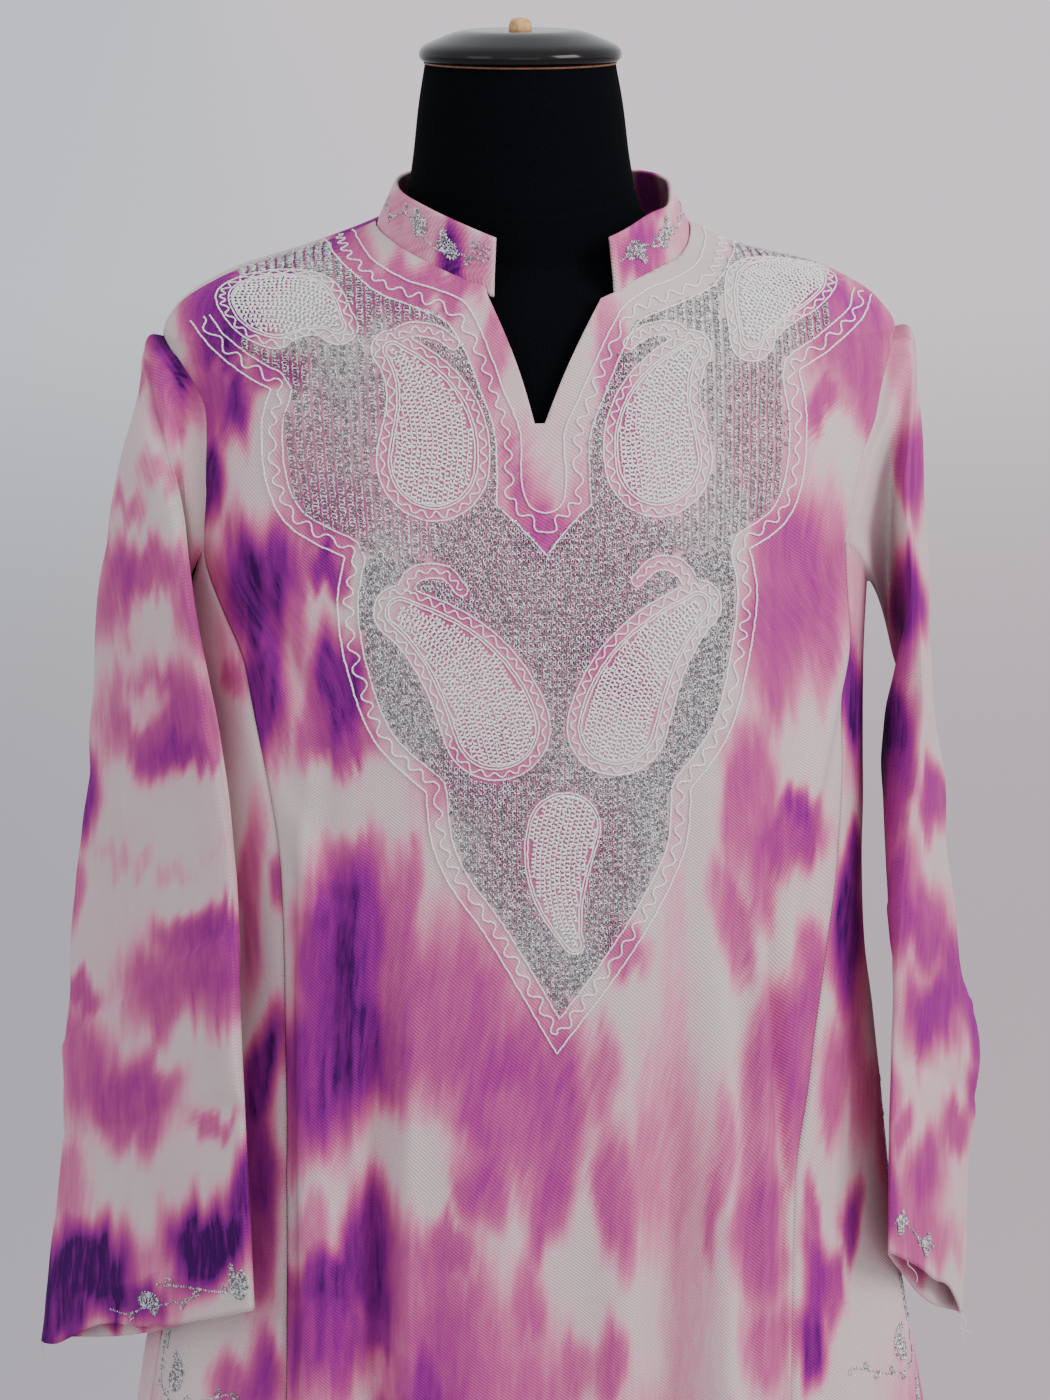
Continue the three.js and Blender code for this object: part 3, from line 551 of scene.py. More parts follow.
def tube_mesh(paths: Array, normals: Array, radius: Array | float, sides: int) -> tuple[Array, Array]:
    """Lay round threads along many paths of one length.

    Args:
        paths: points of shape (threads, steps, 3).
        normals: the cloth's normals there.
        radius: thread radius, one number or of shape (threads, steps).
        sides: how many sides a thread has.

    Returns:
        Vertices and four-sided faces. The ends stay open and lie in the cloth.
    """
    count, steps, _ = paths.shape
    ahead = unit(np.gradient(paths, axis=1))
    across = unit(np.cross(ahead, normals))
    rise = np.cross(across, ahead)
    angle = 2 * np.pi * (np.arange(sides) + 0.5) / sides
    size = np.broadcast_to(radius, (count, steps))[..., None, None]
    ring = across[:, :, None] * np.cos(angle)[:, None] + rise[:, :, None] * np.sin(angle)[:, None]
    vertices = (paths[:, :, None] + size * ring).reshape(-1, 3)
    one = grid_faces(steps, sides, closed=True)
    faces = (one[None] + (np.arange(count) * steps * sides)[:, None, None]).reshape(-1, 4)
    return vertices, faces


class Threads:
    """Threads gathered into one joined mesh."""

    def __init__(self) -> None:
        """Start with none."""
        self.vertices: list[Array] = []
        self.faces: list[Array] = []
        self.total = 0

    def add(self, paths: Array, normals: Array, radius: Array | float, sides: int) -> None:
        """Add threads that have the same number of steps.

        Args:
            paths: points of shape (threads, steps, 3).
            normals: the cloth's normals there.
            radius: thread radius.
            sides: how many sides a thread has.
        """
        if not len(paths):
            return
        vertices, faces = tube_mesh(paths, normals, radius, sides)
        self.faces.append(faces + self.total)
        self.vertices.append(vertices)
        self.total += len(vertices)

    def build(self, name: str) -> Piece:
        """Return the joined mesh as an object."""
        return make_object(name, np.concatenate(self.vertices), np.concatenate(self.faces))


# Dye


@dataclass(frozen=True)
class FrontView:
    """The view that the dye's patches and the camera share: a place on the cloth seen from in front and a little above.

    Places are in steps across and down a frame 1050 steps wide and 1400 high.
    """

    yaw: float = 5.5
    pitch: float = 14.0
    distance: float = 1850.0
    height: float = 1595.0
    reach: float = 3443.0
    middle: Place = (525.0, 700.0)

    def eye(self) -> Array:
        """Return where the view is taken from, in millimetres."""
        yaw = math.radians(self.yaw)
        return np.array([-self.distance * math.sin(yaw), -self.distance * math.cos(yaw), self.height])

    def places(self, points: Array) -> tuple[Array, Array]:
        """Return steps across and down for points in millimetres.

        Args:
            points: the points.

        Returns:
            Steps across and steps down.
        """
        yaw, pitch = math.radians(self.yaw), math.radians(self.pitch)
        ahead = np.array([math.sin(yaw) * math.cos(pitch), math.cos(yaw) * math.cos(pitch), -math.sin(pitch)])
        right = np.array([math.cos(yaw), -math.sin(yaw), 0.0])
        above = np.cross(right, ahead)
        offset = points - self.eye()
        depth = offset @ ahead
        return (
            self.middle[0] + self.reach * (offset @ right) / depth,
            self.middle[1] - self.reach * (offset @ above) / depth,
        )


VIEW = FrontView()
STEP_MM = 0.533
BACK_MIDDLE = (550, 430)
BACK_MIDDLE_Z = 1301
DEEP_PATCH = ((16, 32), (0.72, 0.88))
PALE_PATCH = ((34, 76), (0.42, 0.62))


def from_behind(points: Array) -> tuple[Array, Array]:
    """Return places on the back in the same steps, counted from the left as seen from behind."""
    return BACK_MIDDLE[0] - points[..., 0] / STEP_MM, BACK_MIDDLE[1] + (BACK_MIDDLE_Z - points[..., 2]) / STEP_MM


def scattered(seed: int, box: tuple[float, float, float, float], count: int) -> list[tuple[float, ...]]:
    """Return patches strewn over a part of the cloth that the front view doesn't show.

    Args:
        seed: which of the endless layouts.
        box: left, top, right and bottom.
        count: how many patches.

    Returns:
        Rows of x, y, width, height, depth and tilt.
    """
    random = np.random.default_rng(seed)
    found = []
    for index in range(count):
        widths, depths = PALE_PATCH if index % 3 else DEEP_PATCH
        width = random.uniform(*widths)
        x, y = random.uniform(box[0], box[2]), random.uniform(box[1], box[3])
        height, tilt = width * random.uniform(1.2, 3.4), random.uniform(-12, 12)
        found.append((x, y, width, height, random.uniform(*depths), tilt))
    return found


@dataclass
class Dye:
    """Where the dye took: soft patches that run up and down the cloth.

    A patch is a row of x, y, width, height, depth and, where it slants, its tilt. A negative depth is a spot left
    bare. A warp is a row of its strength, the noise's shift across and down, and the noise's width and height.
    """

    patches: Sequence[Sequence[float]]
    seed: int
    haze: float = 0.05
    reach: float = 1.62
    softness: float = 1.1
    deepest_share: float = 0.55
    streaking: float = 0.10
    warps_across: tuple[tuple[float, ...], ...] = ((8, 0, 0, 46, 90), (4.5, 300, 0, 12, 44), (1.5, 0, 70, 4, 30))
    warps_down: tuple[tuple[float, ...], ...] = ((11, 900, 0, 34, 120), (15, 500, 0, 11, 80), (10, 40, 0, 4.2, 60))
    streaks: tuple[tuple[float, ...], ...] = ((0.6, 77, 0, 5, 90), (0.4, 177, 0, 14, 160))

    def at(self, x: Array, y: Array) -> Array:
        """Return how deep the dye is.

        Args:
            x: steps across.
            y: steps down.

        Returns:
            0 for bare cloth to 1 for the deepest violet.
        """
        noise = Noise(self.seed)
        mixed = lambda rows: sum(row[0] * noise.at(x + row[1], y + row[2], row[3], row[4]) for row in rows)
        warped_x, warped_y = x + mixed(self.warps_across), y + mixed(self.warps_down)
        bare, kept, deepest = np.ones_like(warped_x), np.ones_like(warped_x), np.zeros_like(warped_x)
        for patch_x, patch_y, width, height, depth, *tilt in self.patches:
            angle = math.radians(sum(tilt))
            across, down = warped_x - patch_x, warped_y - patch_y
            side = across * math.cos(angle) - down * math.sin(angle)
            rise = across * math.sin(angle) + down * math.cos(angle)
            patch = depth * smooth_step((self.reach - np.hypot(side / width, rise / height)) / self.softness)
            if depth > 0:
                bare = bare * (1 - patch)
                deepest = np.maximum(deepest, patch)
            else:
                kept = kept * (1 + patch)
        took = ((1 - self.deepest_share) * (1 - bare) + self.deepest_share * deepest) * kept
        haze = self.haze * (0.5 + noise.at(x, y + 50, 60, 150))
        return np.clip(took * (1 + self.streaking * mixed(self.streaks)) + haze, 0, 1)


FRONT_DYE = Dye(
    (
        # shoulders
        (232, 340, 34, 24, 0.85, 30), (278, 374, 34, 18, 0.7, 30), (285, 262, 84, 16, 0.85, 33),
        (218, 304, 30, 44, 0.9), (215, 400, 32, 48, 0.62), (236, 405, 13, 34, 0.86), (204, 478, 16, 44, 0.9),
        (204, 430, 18, 60, 0.5), (850, 335, 46, 62, 0.62), (812, 278, 70, 13, 0.6, -25), (822, 410, 22, 22, 0.66),
        (872, 398, 20, 32, 0.55),
        # left of the yoke
        (256, 585, 44, 66, 0.9), (262, 690, 28, 62, 0.9), (304, 600, 11, 60, 0.5), (332, 562, 17, 24, 0.85),
        (341, 692, 29, 66, 0.88), (318, 722, 20, 48, 0.6), (340, 752, 34, 26, 0.62),
        # left of the middle
        (356, 930, 32, 88, 0.85), (356, 1038, 34, 72, 0.85), (324, 965, 32, 90, 0.84), (314, 1078, 40, 78, 0.83),
        (300, 1100, 20, 60, 0.72), (350, 880, 30, 40, 0.5), (398, 905, 18, 56, 0.5), (412, 870, 9, 30, 0.42),
        (440, 1010, 66, 92, 0.56), (515, 1095, 62, 96, 0.58), (392, 1060, 20, 42, 0.5), (562, 1120, 28, 92, 0.6),
        (476, 1150, 22, 62, 0.58), (486, 1196, 16, 32, 0.5), (547, 1208, 24, 42, 0.62), (508, 1066, 20, 22, 0.6),
        # right of the middle
        (622, 950, 26, 28, 0.52), (604, 1078, 13, 58, 0.48), (614, 1196, 17, 64, 0.6), (642, 1176, 14, 64, 0.3),
        (676, 960, 14, 170, 0.17), (694, 1240, 34, 170, 0.22), (662, 1150, 32, 110, 0.26), (726, 1130, 10, 62, 0.4),
        (712, 1204, 9, 54, 0.5), (735, 930, 14, 56, 0.5), (724, 896, 14, 40, 0.42), (738, 800, 14, 64, 0.5),
        (790, 838, 38, 34, 0.66), (795, 812, 24, 18, 0.7), (762, 880, 13, 52, 0.55), (757, 784, 14, 52, 0.5),
        (772, 1046, 24, 62, 0.6), (796, 1056, 26, 66, 0.6), (806, 976, 14, 44, 0.56), (760, 1150, 18, 84, 0.5),
        (790, 1120, 14, 54, 0.55), (760, 1232, 22, 54, 0.6), (766, 1338, 22, 52, 0.5),
        # right of the yoke
        (800, 570, 48, 84, 0.6), (782, 536, 30, 42, 0.5), (771, 656, 26, 66, 0.56), (816, 620, 24, 74, 0.5),
        (745, 756, 22, 30, 0.3), (765, 430, 40, 70, 0.3),
        # low on the left
        (371, 1268, 30, 80, 0.89), (330, 1290, 42, 36, 0.86, -20), (322, 1346, 44, 54, 0.8), (312, 1228, 16, 32, 0.4),
        (368, 1345, 24, 18, 0.7), (420, 1292, 42, 64, 0.54), (450, 1240, 24, 28, 0.6), (462, 1326, 28, 60, 0.56),
        (430, 1376, 56, 40, 0.5), (530, 1286, 18, 44, 0.52), (562, 1376, 32, 40, 0.45), (610, 1370, 16, 44, 0.55),
        # under the yoke's work
        (545, 590, 120, 130, 0.34), (430, 430, 66, 100, 0.40), (655, 430, 60, 80, 0.16), (545, 530, 38, 26, 0.6),
        (516, 478, 12, 54, 0.5), (500, 340, 16, 84, 0.45, -12), (618, 400, 15, 94, 0.5, 10),
        (418, 290, 72, 24, 0.6, 12), (350, 268, 22, 44, 0.55), (560, 850, 64, 70, 0.42), (480, 770, 70, 40, 0.42, 30),
        (315, 470, 34, 70, 0.34), (340, 520, 40, 36, 0.5), (445, 610, 50, 40, 0.4, 40), (610, 660, 60, 30, 0.42, -45),
        (395, 640, 24, 60, -0.5), (690, 640, 26, 80, -0.5), (550, 455, 24, 34, -0.6), (352, 800, 46, 28, -0.7),
        (420, 1150, 46, 24, -0.6),
        *scattered(3, (240, 1430, 860, 2250), 52),
    ),
    seed=5,
)
GORE_DYE = Dye(
    (
        (240, 640, 20, 56, 0.22), (236, 680, 14, 18, 0.45), (284, 868, 11, 32, 0.6), (252, 900, 11, 84, 0.5),
        (263, 1082, 17, 72, 0.95, -14), (264, 1168, 19, 60, 0.8), (262, 1232, 16, 60, 0.62),
        (258, 1284, 16, 32, 0.56), (265, 1372, 17, 40, 0.8), (232, 1392, 22, 32, 0.6), (850, 938, 18, 74, 0.93),
        (856, 860, 10, 32, 0.8), (850, 1042, 14, 32, 0.5), (832, 1080, 15, 52, 0.6), (860, 1080, 12, 62, 0.42),
        (882, 1110, 10, 62, 0.42), (812, 1296, 10, 64, 0.85), (808, 1340, 15, 36, 0.95), (830, 1288, 11, 42, 0.7, 8),
        (848, 1218, 12, 42, 0.85), (816, 1210, 6, 32, 0.6), (848, 690, 10, 62, 0.9), (862, 600, 20, 62, 0.22),
        (875, 730, 26, 70, 0.9),
        *scattered(9, (0, 1430, 1060, 2250), 70),
    ),
    seed=8,
)
LEFT_SLEEVE_DYE = Dye(
    (
        (176, 345, 34, 34, 0.93), (240, 285, 84, 24, 0.88, 33), (192, 310, 42, 30, 0.88), (162, 386, 36, 15, 0.5),
        (182, 402, 28, 32, 0.5), (166, 470, 22, 15, 0.3, -20), (130, 496, 16, 15, 0.4), (150, 565, 44, 30, 0.6),
        (200, 600, 22, 44, 0.6), (116, 592, 16, 50, 0.48), (160, 716, 62, 50, 0.6), (172, 756, 42, 17, 0.66),
        (145, 700, 22, 17, -0.75), (150, 622, 22, 15, -0.7), (78, 800, 20, 50, 0.88), (75, 900, 10, 32, 0.5),
        (86, 992, 22, 17, 0.55), (204, 972, 60, 42, 0.6), (196, 934, 44, 22, 0.66, -10), (160, 988, 32, 40, 0.5),
        (218, 1004, 30, 34, 0.5), (150, 860, 50, 12, 0.2), (86, 1070, 26, 60, 0.56), (130, 1100, 42, 46, 0.62),
        (152, 1078, 32, 20, 0.5), (216, 1120, 26, 14, 0.5), (70, 1180, 20, 40, 0.45), (80, 1270, 58, 48, 1.0),
        (58, 1312, 28, 32, 0.95), (212, 1246, 46, 46, 1.0, -20), (125, 1304, 46, 24, 0.88), (245, 1200, 20, 40, 0.9),
    ),
    seed=21,
    haze=0.08,
)
RIGHT_SLEEVE_DYE = Dye(
    (
        (903, 360, 10, 60, 0.35), (912, 470, 12, 52, 0.72), (904, 600, 18, 48, 0.87), (895, 722, 22, 38, 0.85),
        (905, 762, 12, 32, 0.66), (932, 800, 14, 32, 0.72), (900, 652, 14, 32, 0.56), (895, 800, 12, 62, 0.56),
        (905, 900, 20, 54, 0.62), (937, 918, 20, 42, 0.6), (960, 972, 20, 42, 0.66), (976, 1012, 10, 42, 0.66),
        (930, 1012, 24, 42, 0.7), (976, 1080, 12, 32, 0.62), (905, 1120, 10, 22, 0.5), (955, 1122, 16, 26, 0.52),
        (885, 1110, 10, 54, 0.56), (930, 1170, 15, 42, 0.58), (890, 1182, 13, 42, 0.62), (915, 1204, 30, 50, 0.4),
        (935, 1242, 30, 32, 0.42), (872, 760, 24, 90, 0.94),
    ),
    seed=23,
    haze=0.10,
)
COLLAR_DYE = Dye(
    (
        (455, 262, 12, 44, 0.88), (400, 250, 50, 42, 0.28), (480, 260, 12, 30, 0.4), (638, 250, 26, 34, 0.72),
        (692, 230, 22, 32, 0.26), (655, 186, 13, 32, 0.85), (640, 214, 14, 24, 0.5), (400, 190, 20, 24, 0.3),
        (530, 180, 30, 30, 0.5),
    ),
    seed=31,
)
BACK_DYE = Dye(scattered(14, (-20, 240, 1080, 2250), 112), seed=14)


# Finishes


class Shading:
    """A material with one Principled shader, whose nodes are added in short calls."""

    def __init__(self, name: str) -> None:
        """Start the material.

        Args:
            name: the material's name.
        """
        self.material = bpy.data.materials.new(name)
        self.material.use_nodes = True
        self.shader = self.material.node_tree.nodes["Principled BSDF"]

    def wire(self, node: bpy.types.Node, inputs: Inputs) -> None:
        """Set a node's inputs: a socket is linked, and any other value is set as it is.

        Args:
            node: the node.
            inputs: values by the inputs' names or numbers.
        """
        for key, value in inputs.items():
            if isinstance(value, Socket):
                self.material.node_tree.links.new(value, node.inputs[key])
            else:
                node.inputs[key].default_value = value

    def node(self, kind: str, inputs: Inputs, **settings: object) -> bpy.types.Node:
        """Add a node.

        Args:
            kind: its type, without the leading words.
            inputs: its inputs, as for wire.
            settings: its own settings.

        Returns:
            The node.
        """
        node = self.material.node_tree.nodes.new(f"ShaderNode{kind}")
        for key, value in settings.items():
            setattr(node, key, value)
        self.wire(node, inputs)
        return node

    def ramp(self, value: Socket, stops: Sequence[tuple[float, Colour]]) -> Socket:
        """Turn a value into colours.

        Args:
            value: where the value comes from.
            stops: places and colours along the ramp.

        Returns:
            The colour's socket.
        """
        ramp = self.node("ValToRGB", {"Fac": value})
        elements = ramp.color_ramp.elements
        while len(elements) < len(stops):
            elements.new(0.5)
        for element, (place, colour) in zip(elements, stops):
            element.position = place
            element.color = colour
        return ramp.outputs["Color"]

    def finish(self, height: Socket, strength: float, distance: float, values: Inputs) -> Material:
        """Set the shader and bump it.

        Args:
            height: where the bump's height comes from.
            strength: the bump's strength.
            distance: the bump's depth in metres.
            values: the shader's inputs.

        Returns:
            The material.
        """
        bump = self.node("Bump", {"Strength": strength, "Distance": distance, "Height": height})
        self.wire(self.shader, {**values, "Normal": bump.outputs["Normal"]})
        return self.material


def linear(red: float, green: float, blue: float) -> Colour:
    """Return a screen colour as the linear colour that a shader wants."""
    return (*(((c + 0.055) / 1.055) ** 2.4 if c > 0.04045 else c / 12.92 for c in (red, green, blue)), 1.0)


@dataclass(frozen=True)
class DyedTwill:
    """Cotton twill dyed from off-white through pink and orchid to violet, with diagonal ribs whose grooves carry
    painted shade.
    """

    name: str = "dyed_twill"
    rib_pitch_mm: float = 1.45
    roughness: float = 0.88

    def build(self) -> Material:
        """Return the material. It reads the dye attribute and the cloth's own UV map.

        Returns:
            The material.
        """
        shading = Shading(self.name)
        node = shading.node
        dye = node("Attribute", {}, attribute_name="dye").outputs["Fac"]
        flat = node("UVMap", {}, uv_map="Cloth").outputs["UV"]
        streak_place = node("Mapping", {"Scale": (230, 34, 1), "Vector": flat}).outputs["Vector"]
        streaks = node("TexNoise", {"Scale": 1.0, "Detail": 5.0, "Roughness": 0.62, "Vector": streak_place})
        shift = node("Math", {0: streaks.outputs["Fac"], 1: 0.34, 2: -0.17}, operation="MULTIPLY_ADD")
        edge = node("MapRange", {"From Min": 0.0, "From Max": 0.16, "Value": dye})
        held = node("Math", {0: shift.outputs[0], 1: edge.outputs[0]}, operation="MULTIPLY")
        depth = node("Math", {0: dye, 1: held.outputs[0]}, operation="ADD", use_clamp=True)
        stops = (
            (0.0, linear(0.86, 0.80, 0.795)),
            (0.10, linear(0.885, 0.755, 0.785)),
            (0.24, linear(0.90, 0.63, 0.72)),
            (0.40, linear(0.85, 0.48, 0.64)),
            (0.56, linear(0.77, 0.36, 0.58)),
            (0.72, linear(0.68, 0.25, 0.56)),
            (0.85, linear(0.58, 0.15, 0.55)),
            (0.94, linear(0.47, 0.09, 0.50)),
            (1.0, linear(0.27, 0.03, 0.36)),
        )
        colour = shading.ramp(depth.outputs[0], stops)
        rib_place = node("Mapping", {"Rotation": (0, 0, math.radians(-52)), "Vector": flat}).outputs["Vector"]
        rib_scale = 1000 * math.pi / (10 * self.rib_pitch_mm)
        ribs = node(
            "TexWave",
            {"Scale": rib_scale, "Distortion": 1.4, "Detail": 2.0, "Detail Scale": 2.0, "Vector": rib_place},
            wave_type="BANDS", bands_direction="X", wave_profile="SIN",
        )
        # The ribs darken the colour by up to a fifth along their grooves: painted shade, beside their bump.
        shade = node(
            "Mix", {"Factor": 0.20, "A": colour, "B": ribs.outputs["Color"]}, data_type="RGBA", blend_type="MULTIPLY"
        )
        slub = node("TexNoise", {"Scale": 900.0, "Detail": 2.0, "Vector": flat})
        height = node("Math", {0: slub.outputs["Fac"], 1: 0.4, 2: ribs.outputs["Fac"]}, operation="MULTIPLY_ADD")
        values = {"Base Color": shade.outputs["Result"], "Roughness": self.roughness, "Specular IOR Level": 0.1}
        return shading.finish(height.outputs[0], 0.55, 0.0004, values)


@dataclass(frozen=True)
class Grained:
    """A finish of one colour with a fine uneven grain, as thread, jersey, lacquer, wood and metal have; the silver's is
    painted glints.
    """

    name: str
    colour: Colour
    roughness: float
    grain_scale: float
    dark: float
    light: float
    bump_mm: float
    specular: float = 0.5
    metallic: float = 0.0
    spread: float = 0.15
    detail: float = 4.0
    bump_strength: float = 0.5

    def build(self) -> Material:
        """Return the material.

        Returns:
            The material.
        """
        shading = Shading(self.name)
        place = shading.node("TexCoord", {}).outputs["Object"]
        grain = shading.node("TexNoise", {"Scale": self.grain_scale, "Detail": self.detail, "Vector": place})
        shades = [(*(min(1, c * share) for c in self.colour[:3]), 1) for share in (self.dark, self.light)]
        stops = ((0.5 - self.spread, shades[0]), (0.5 + self.spread, shades[1]))
        values = {
            "Base Color": shading.ramp(grain.outputs["Fac"], stops), "Roughness": self.roughness,
            "Metallic": self.metallic, "Specular IOR Level": self.specular,
        }
        return shading.finish(grain.outputs["Fac"], self.bump_strength, self.bump_mm * METRE, values)


THREAD_GRAIN = {"detail": 2.0, "bump_strength": 0.4}
TWILL = DyedTwill()
WHITE_THREAD = Grained(
    "white_thread", (0.93, 0.93, 0.93, 1), 0.6, 1700.0, 0.904, 1.0, 0.2, 0.4, spread=0.2, **THREAD_GRAIN
)
# The silver thread's colour swings from about a quarter to full brightness in fine spots: painted glints and painted
# shade for its sparkle.
SILVER_PAINTED_GLINTS = Grained(
    "silver_thread", (0.93, 0.96, 1.0, 1), 0.27, 620.0, 0.264, 1.0, 0.2, 1.0, 0.5, spread=0.06, **THREAD_GRAIN
)
JERSEY = Grained("black_jersey", (0.0026, 0.0030, 0.0042, 1), 0.95, 1500.0, 0.65, 1.35, 0.15, 0.03)
LACQUER = Grained("black_lacquer", (0.003, 0.003, 0.0035, 1), 0.14, 60.0, 0.9, 1.1, 0.01, 0.28)
WOOD = Grained("pale_wood", linear(0.80, 0.62, 0.42), 0.5, 260.0, 0.7, 1.3, 0.06)
BROWN_RING = Grained("brown_ring", linear(0.42, 0.27, 0.16), 0.45, 300.0, 0.7, 1.3, 0.05)
STAND = Grained("black_stand", (0.02, 0.02, 0.022, 1), 0.38, 500.0, 0.8, 1.2, 0.03, metallic=0.4)


@dataclass
class Finishes:
    """Every finish, built once."""

    twill: Material = field(default_factory=TWILL.build)
    white: Material = field(default_factory=WHITE_THREAD.build)
    silver: Material = field(default_factory=SILVER_PAINTED_GLINTS.build)
    jersey: Material = field(default_factory=JERSEY.build)
    lacquer: Material = field(default_factory=LACQUER.build)
    wood: Material = field(default_factory=WOOD.build)
    ring: Material = field(default_factory=BROWN_RING.build)
    stand: Material = field(default_factory=STAND.build)


# The cut and sewn pieces


def finished(piece: Piece, material: Material, node: str = "") -> Piece:
    """Give a piece its finish and its place on the part.

    Args:
        piece: the piece.
        material: the finish.
        node: the solid that it stands for, if any.

    Returns:
        The piece.
    """
    piece.data.materials.append(material)
    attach(piece, "root")
    if node:
        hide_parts(node)
    return piece


def finish_cloth(
    piece: Piece, flat: Array, dye: Array, thickness: float, material: Material, node: str
) -> Piece:
    """Give a sheet its flat coordinates, dye, thickness and finish.

    Args:
        piece: the outer face.
        flat: flat cloth coordinates of each vertex.
        dye: dye depth of each vertex.
        thickness: how thick the cloth is.
        material: the finish.
        node: the solid that it stands for.

    Returns:
        The piece.
    """
    store_flat(piece, flat)
    store(piece, "dye", dye)
    apply_modifier(piece, "SOLIDIFY", thickness=thickness * METRE, offset=-1.0, use_quality_normals=True)
    return finished(piece, material, node)


def trimmed(
    turn: Array, z: Array, place: Callable[[Array, Array], Array], cut: Callable[[Array], Array], closed: bool = False
) -> tuple[Array, Array, Array, Array]:
    """Cut a hole in a grid of cloth, with its edge drawn exactly along the cut.

    Args:
        turn: turns of the grid's points.
        z: their heights.
        place: gives a point for a turn and a height.
        cut: tells which points are cut away.
        closed: whether the grid is a tube.

    Returns:
        Turns, heights and points of the kept vertices, and the kept faces.
    """
    rows, columns = turn.shape
    faces = grid_faces(rows, columns, closed)
    turn, z = turn.ravel().copy(), z.ravel().copy()
    gone = cut(place(turn, z))
    faces = faces[~gone[faces].all(axis=1)]
    for low, high in ((0, 1), (1, 2), (2, 3), (3, 0)):
        for inside, outside in ((faces[:, low], faces[:, high]), (faces[:, high], faces[:, low])):
            pick = ~gone[inside] & gone[outside]
            kept, moved = inside[pick], outside[pick]
            near, far = np.zeros(len(kept)), np.ones(len(kept))
            start_turn, start_z, end_turn, end_z = turn[kept], z[kept], turn[moved], z[moved]
            for _ in range(14):
                middle = (near + far) / 2
                hit = cut(place(start_turn + middle * (end_turn - start_turn), start_z + middle * (end_z - start_z)))
                far = np.where(hit, middle, far)
                near = np.where(hit, near, middle)
            turn[moved] = start_turn + near * (end_turn - start_turn)
            z[moved] = start_z + near * (end_z - start_z)
            gone[moved] = False
        if low == 0:
            gone = cut(place(turn, z)) & gone
    stray = gone[faces].any(axis=1)
    faces = faces[~stray]
    used = np.unique(faces)
    index = np.full(len(turn), -1)
    index[used] = np.arange(len(used))
    return turn[used], z[used], place(turn[used], z[used]), index[faces]


@dataclass
class CentrePanels:
    """The straight front and back, joined at the shoulders."""

    body: WornBody
    neck: NeckCut
    finishes: Finishes
    thickness: float = 1.3
    half_seam: float = 0.2
    columns: int = 116
    back_columns: int = 66
    skirt_rows: int = 44
    chest_rows: int = 160
    shoulder_rows: int = 62
    chest_z: float = 760.0
    shoulder_z: float = 1300.0
    seam_top_z: float = 1330.0
    front_top_z: float = 1404.0
    back_top_z: float = 1410.0

    def heights(self, top: float) -> Array:
        """Return the heights of a panel's rows, close together over the shoulder.

        Args:
            top: the last row's height.

        Returns:
            The heights, upwards.
        """
        skirt = np.linspace(self.body.hem_z, self.chest_z, self.skirt_rows, endpoint=False)
        chest = np.linspace(self.chest_z, self.shoulder_z, self.chest_rows, endpoint=False)
        eased = 1 - (1 - np.linspace(0, 1, self.shoulder_rows)) ** 1.35
        return np.concatenate([skirt, chest, self.shoulder_z + (top - self.shoulder_z) * eased])

    def build(self, face: Face) -> Piece:
        """Build the front or the back.

        Args:
            face: which of the two.

        Returns:
            The finished panel.
        """
        front = face is Face.FRONT
        heights = self.heights(self.front_top_z if front else self.back_top_z)
        columns = self.columns if front else self.back_columns
        share = np.linspace(0, 1, columns + 1)[None, :]
        z = np.repeat(heights[:, None], columns + 1, axis=1)
        left = self.body.panel_edge_turn(-1, face, heights)[:, None]
        right = self.body.panel_edge_turn(1, face, heights)[:, None]
        start, end = (-left, right) if front else (right, 360 - left)
        start = start + self.half_seam / self.body.per_degree(start, heights[:, None])
        end = end - self.half_seam / self.body.per_degree(end, heights[:, None])
        turn = start + (end - start) * share

        def place(at_turn: Array, at_z: Array) -> Array:
            """Return the panel's points, with its side edges rolled into their seams.

            Args:
                at_turn: turns.
                at_z: heights.

            Returns:
                Points.
            """
            first = np.interp(at_z, heights, start[:, 0])
            last = np.interp(at_z, heights, end[:, 0])
            size = self.body.per_degree(at_turn, at_z)
            to_seam = np.minimum(at_turn - first, last - at_turn) * size
            rolled = hump(to_seam, self.body.seam_roll_width) * (at_z < self.seam_top_z)
            return self.body.point(at_turn, at_z, self.body.turned_edges(rolled, at_z))

        cut = self.neck.removed if front else self.neck.in_hole
        kept_turn, kept_z, points, faces = trimmed(turn, z, place, cut)
        grid = self.body.point(turn, z)
        rise = lengths_along(grid, 0)
        across = lengths_along(grid, 1)
        across = across - across[:, columns // 2][:, None]
        first, last = np.interp(kept_z, heights, start[:, 0]), np.interp(kept_z, heights, end[:, 0])
        column = (kept_turn - first) / (last - first) * columns
        row = np.interp(kept_z, heights, np.arange(len(heights)))
        flat = np.stack([sample(across, row, column), sample(rise, row, column)], -1)
        depth = FRONT_DYE.at(*VIEW.places(points)) if front else BACK_DYE.at(*from_behind(points))
        name = "front" if front else "back"
        piece = make_object(f"pheran_{name}", points, faces)
        finish_cloth(piece, flat, depth, self.thickness, self.finishes.twill, f"{name}_panel")
        return piece


def sample(grid: Array, row: Array, column: Array) -> Array:
    """Read a grid of values between its points.

    Args:
        grid: the values.
        row: places down the grid.
        column: places across it.

    Returns:
        The values there.
    """
    top = np.clip(row.astype(int), 0, grid.shape[0] - 2)
    left = np.clip(column.astype(int), 0, grid.shape[1] - 2)
    down, right = row - top, column - left
    if grid.ndim > 2:
        down, right = down[..., None], right[..., None]
    upper = grid[top, left] * (1 - right) + grid[top, left + 1] * right
    lower = grid[top + 1, left] * (1 - right) + grid[top + 1, left + 1] * right
    return upper * (1 - down) + lower * down


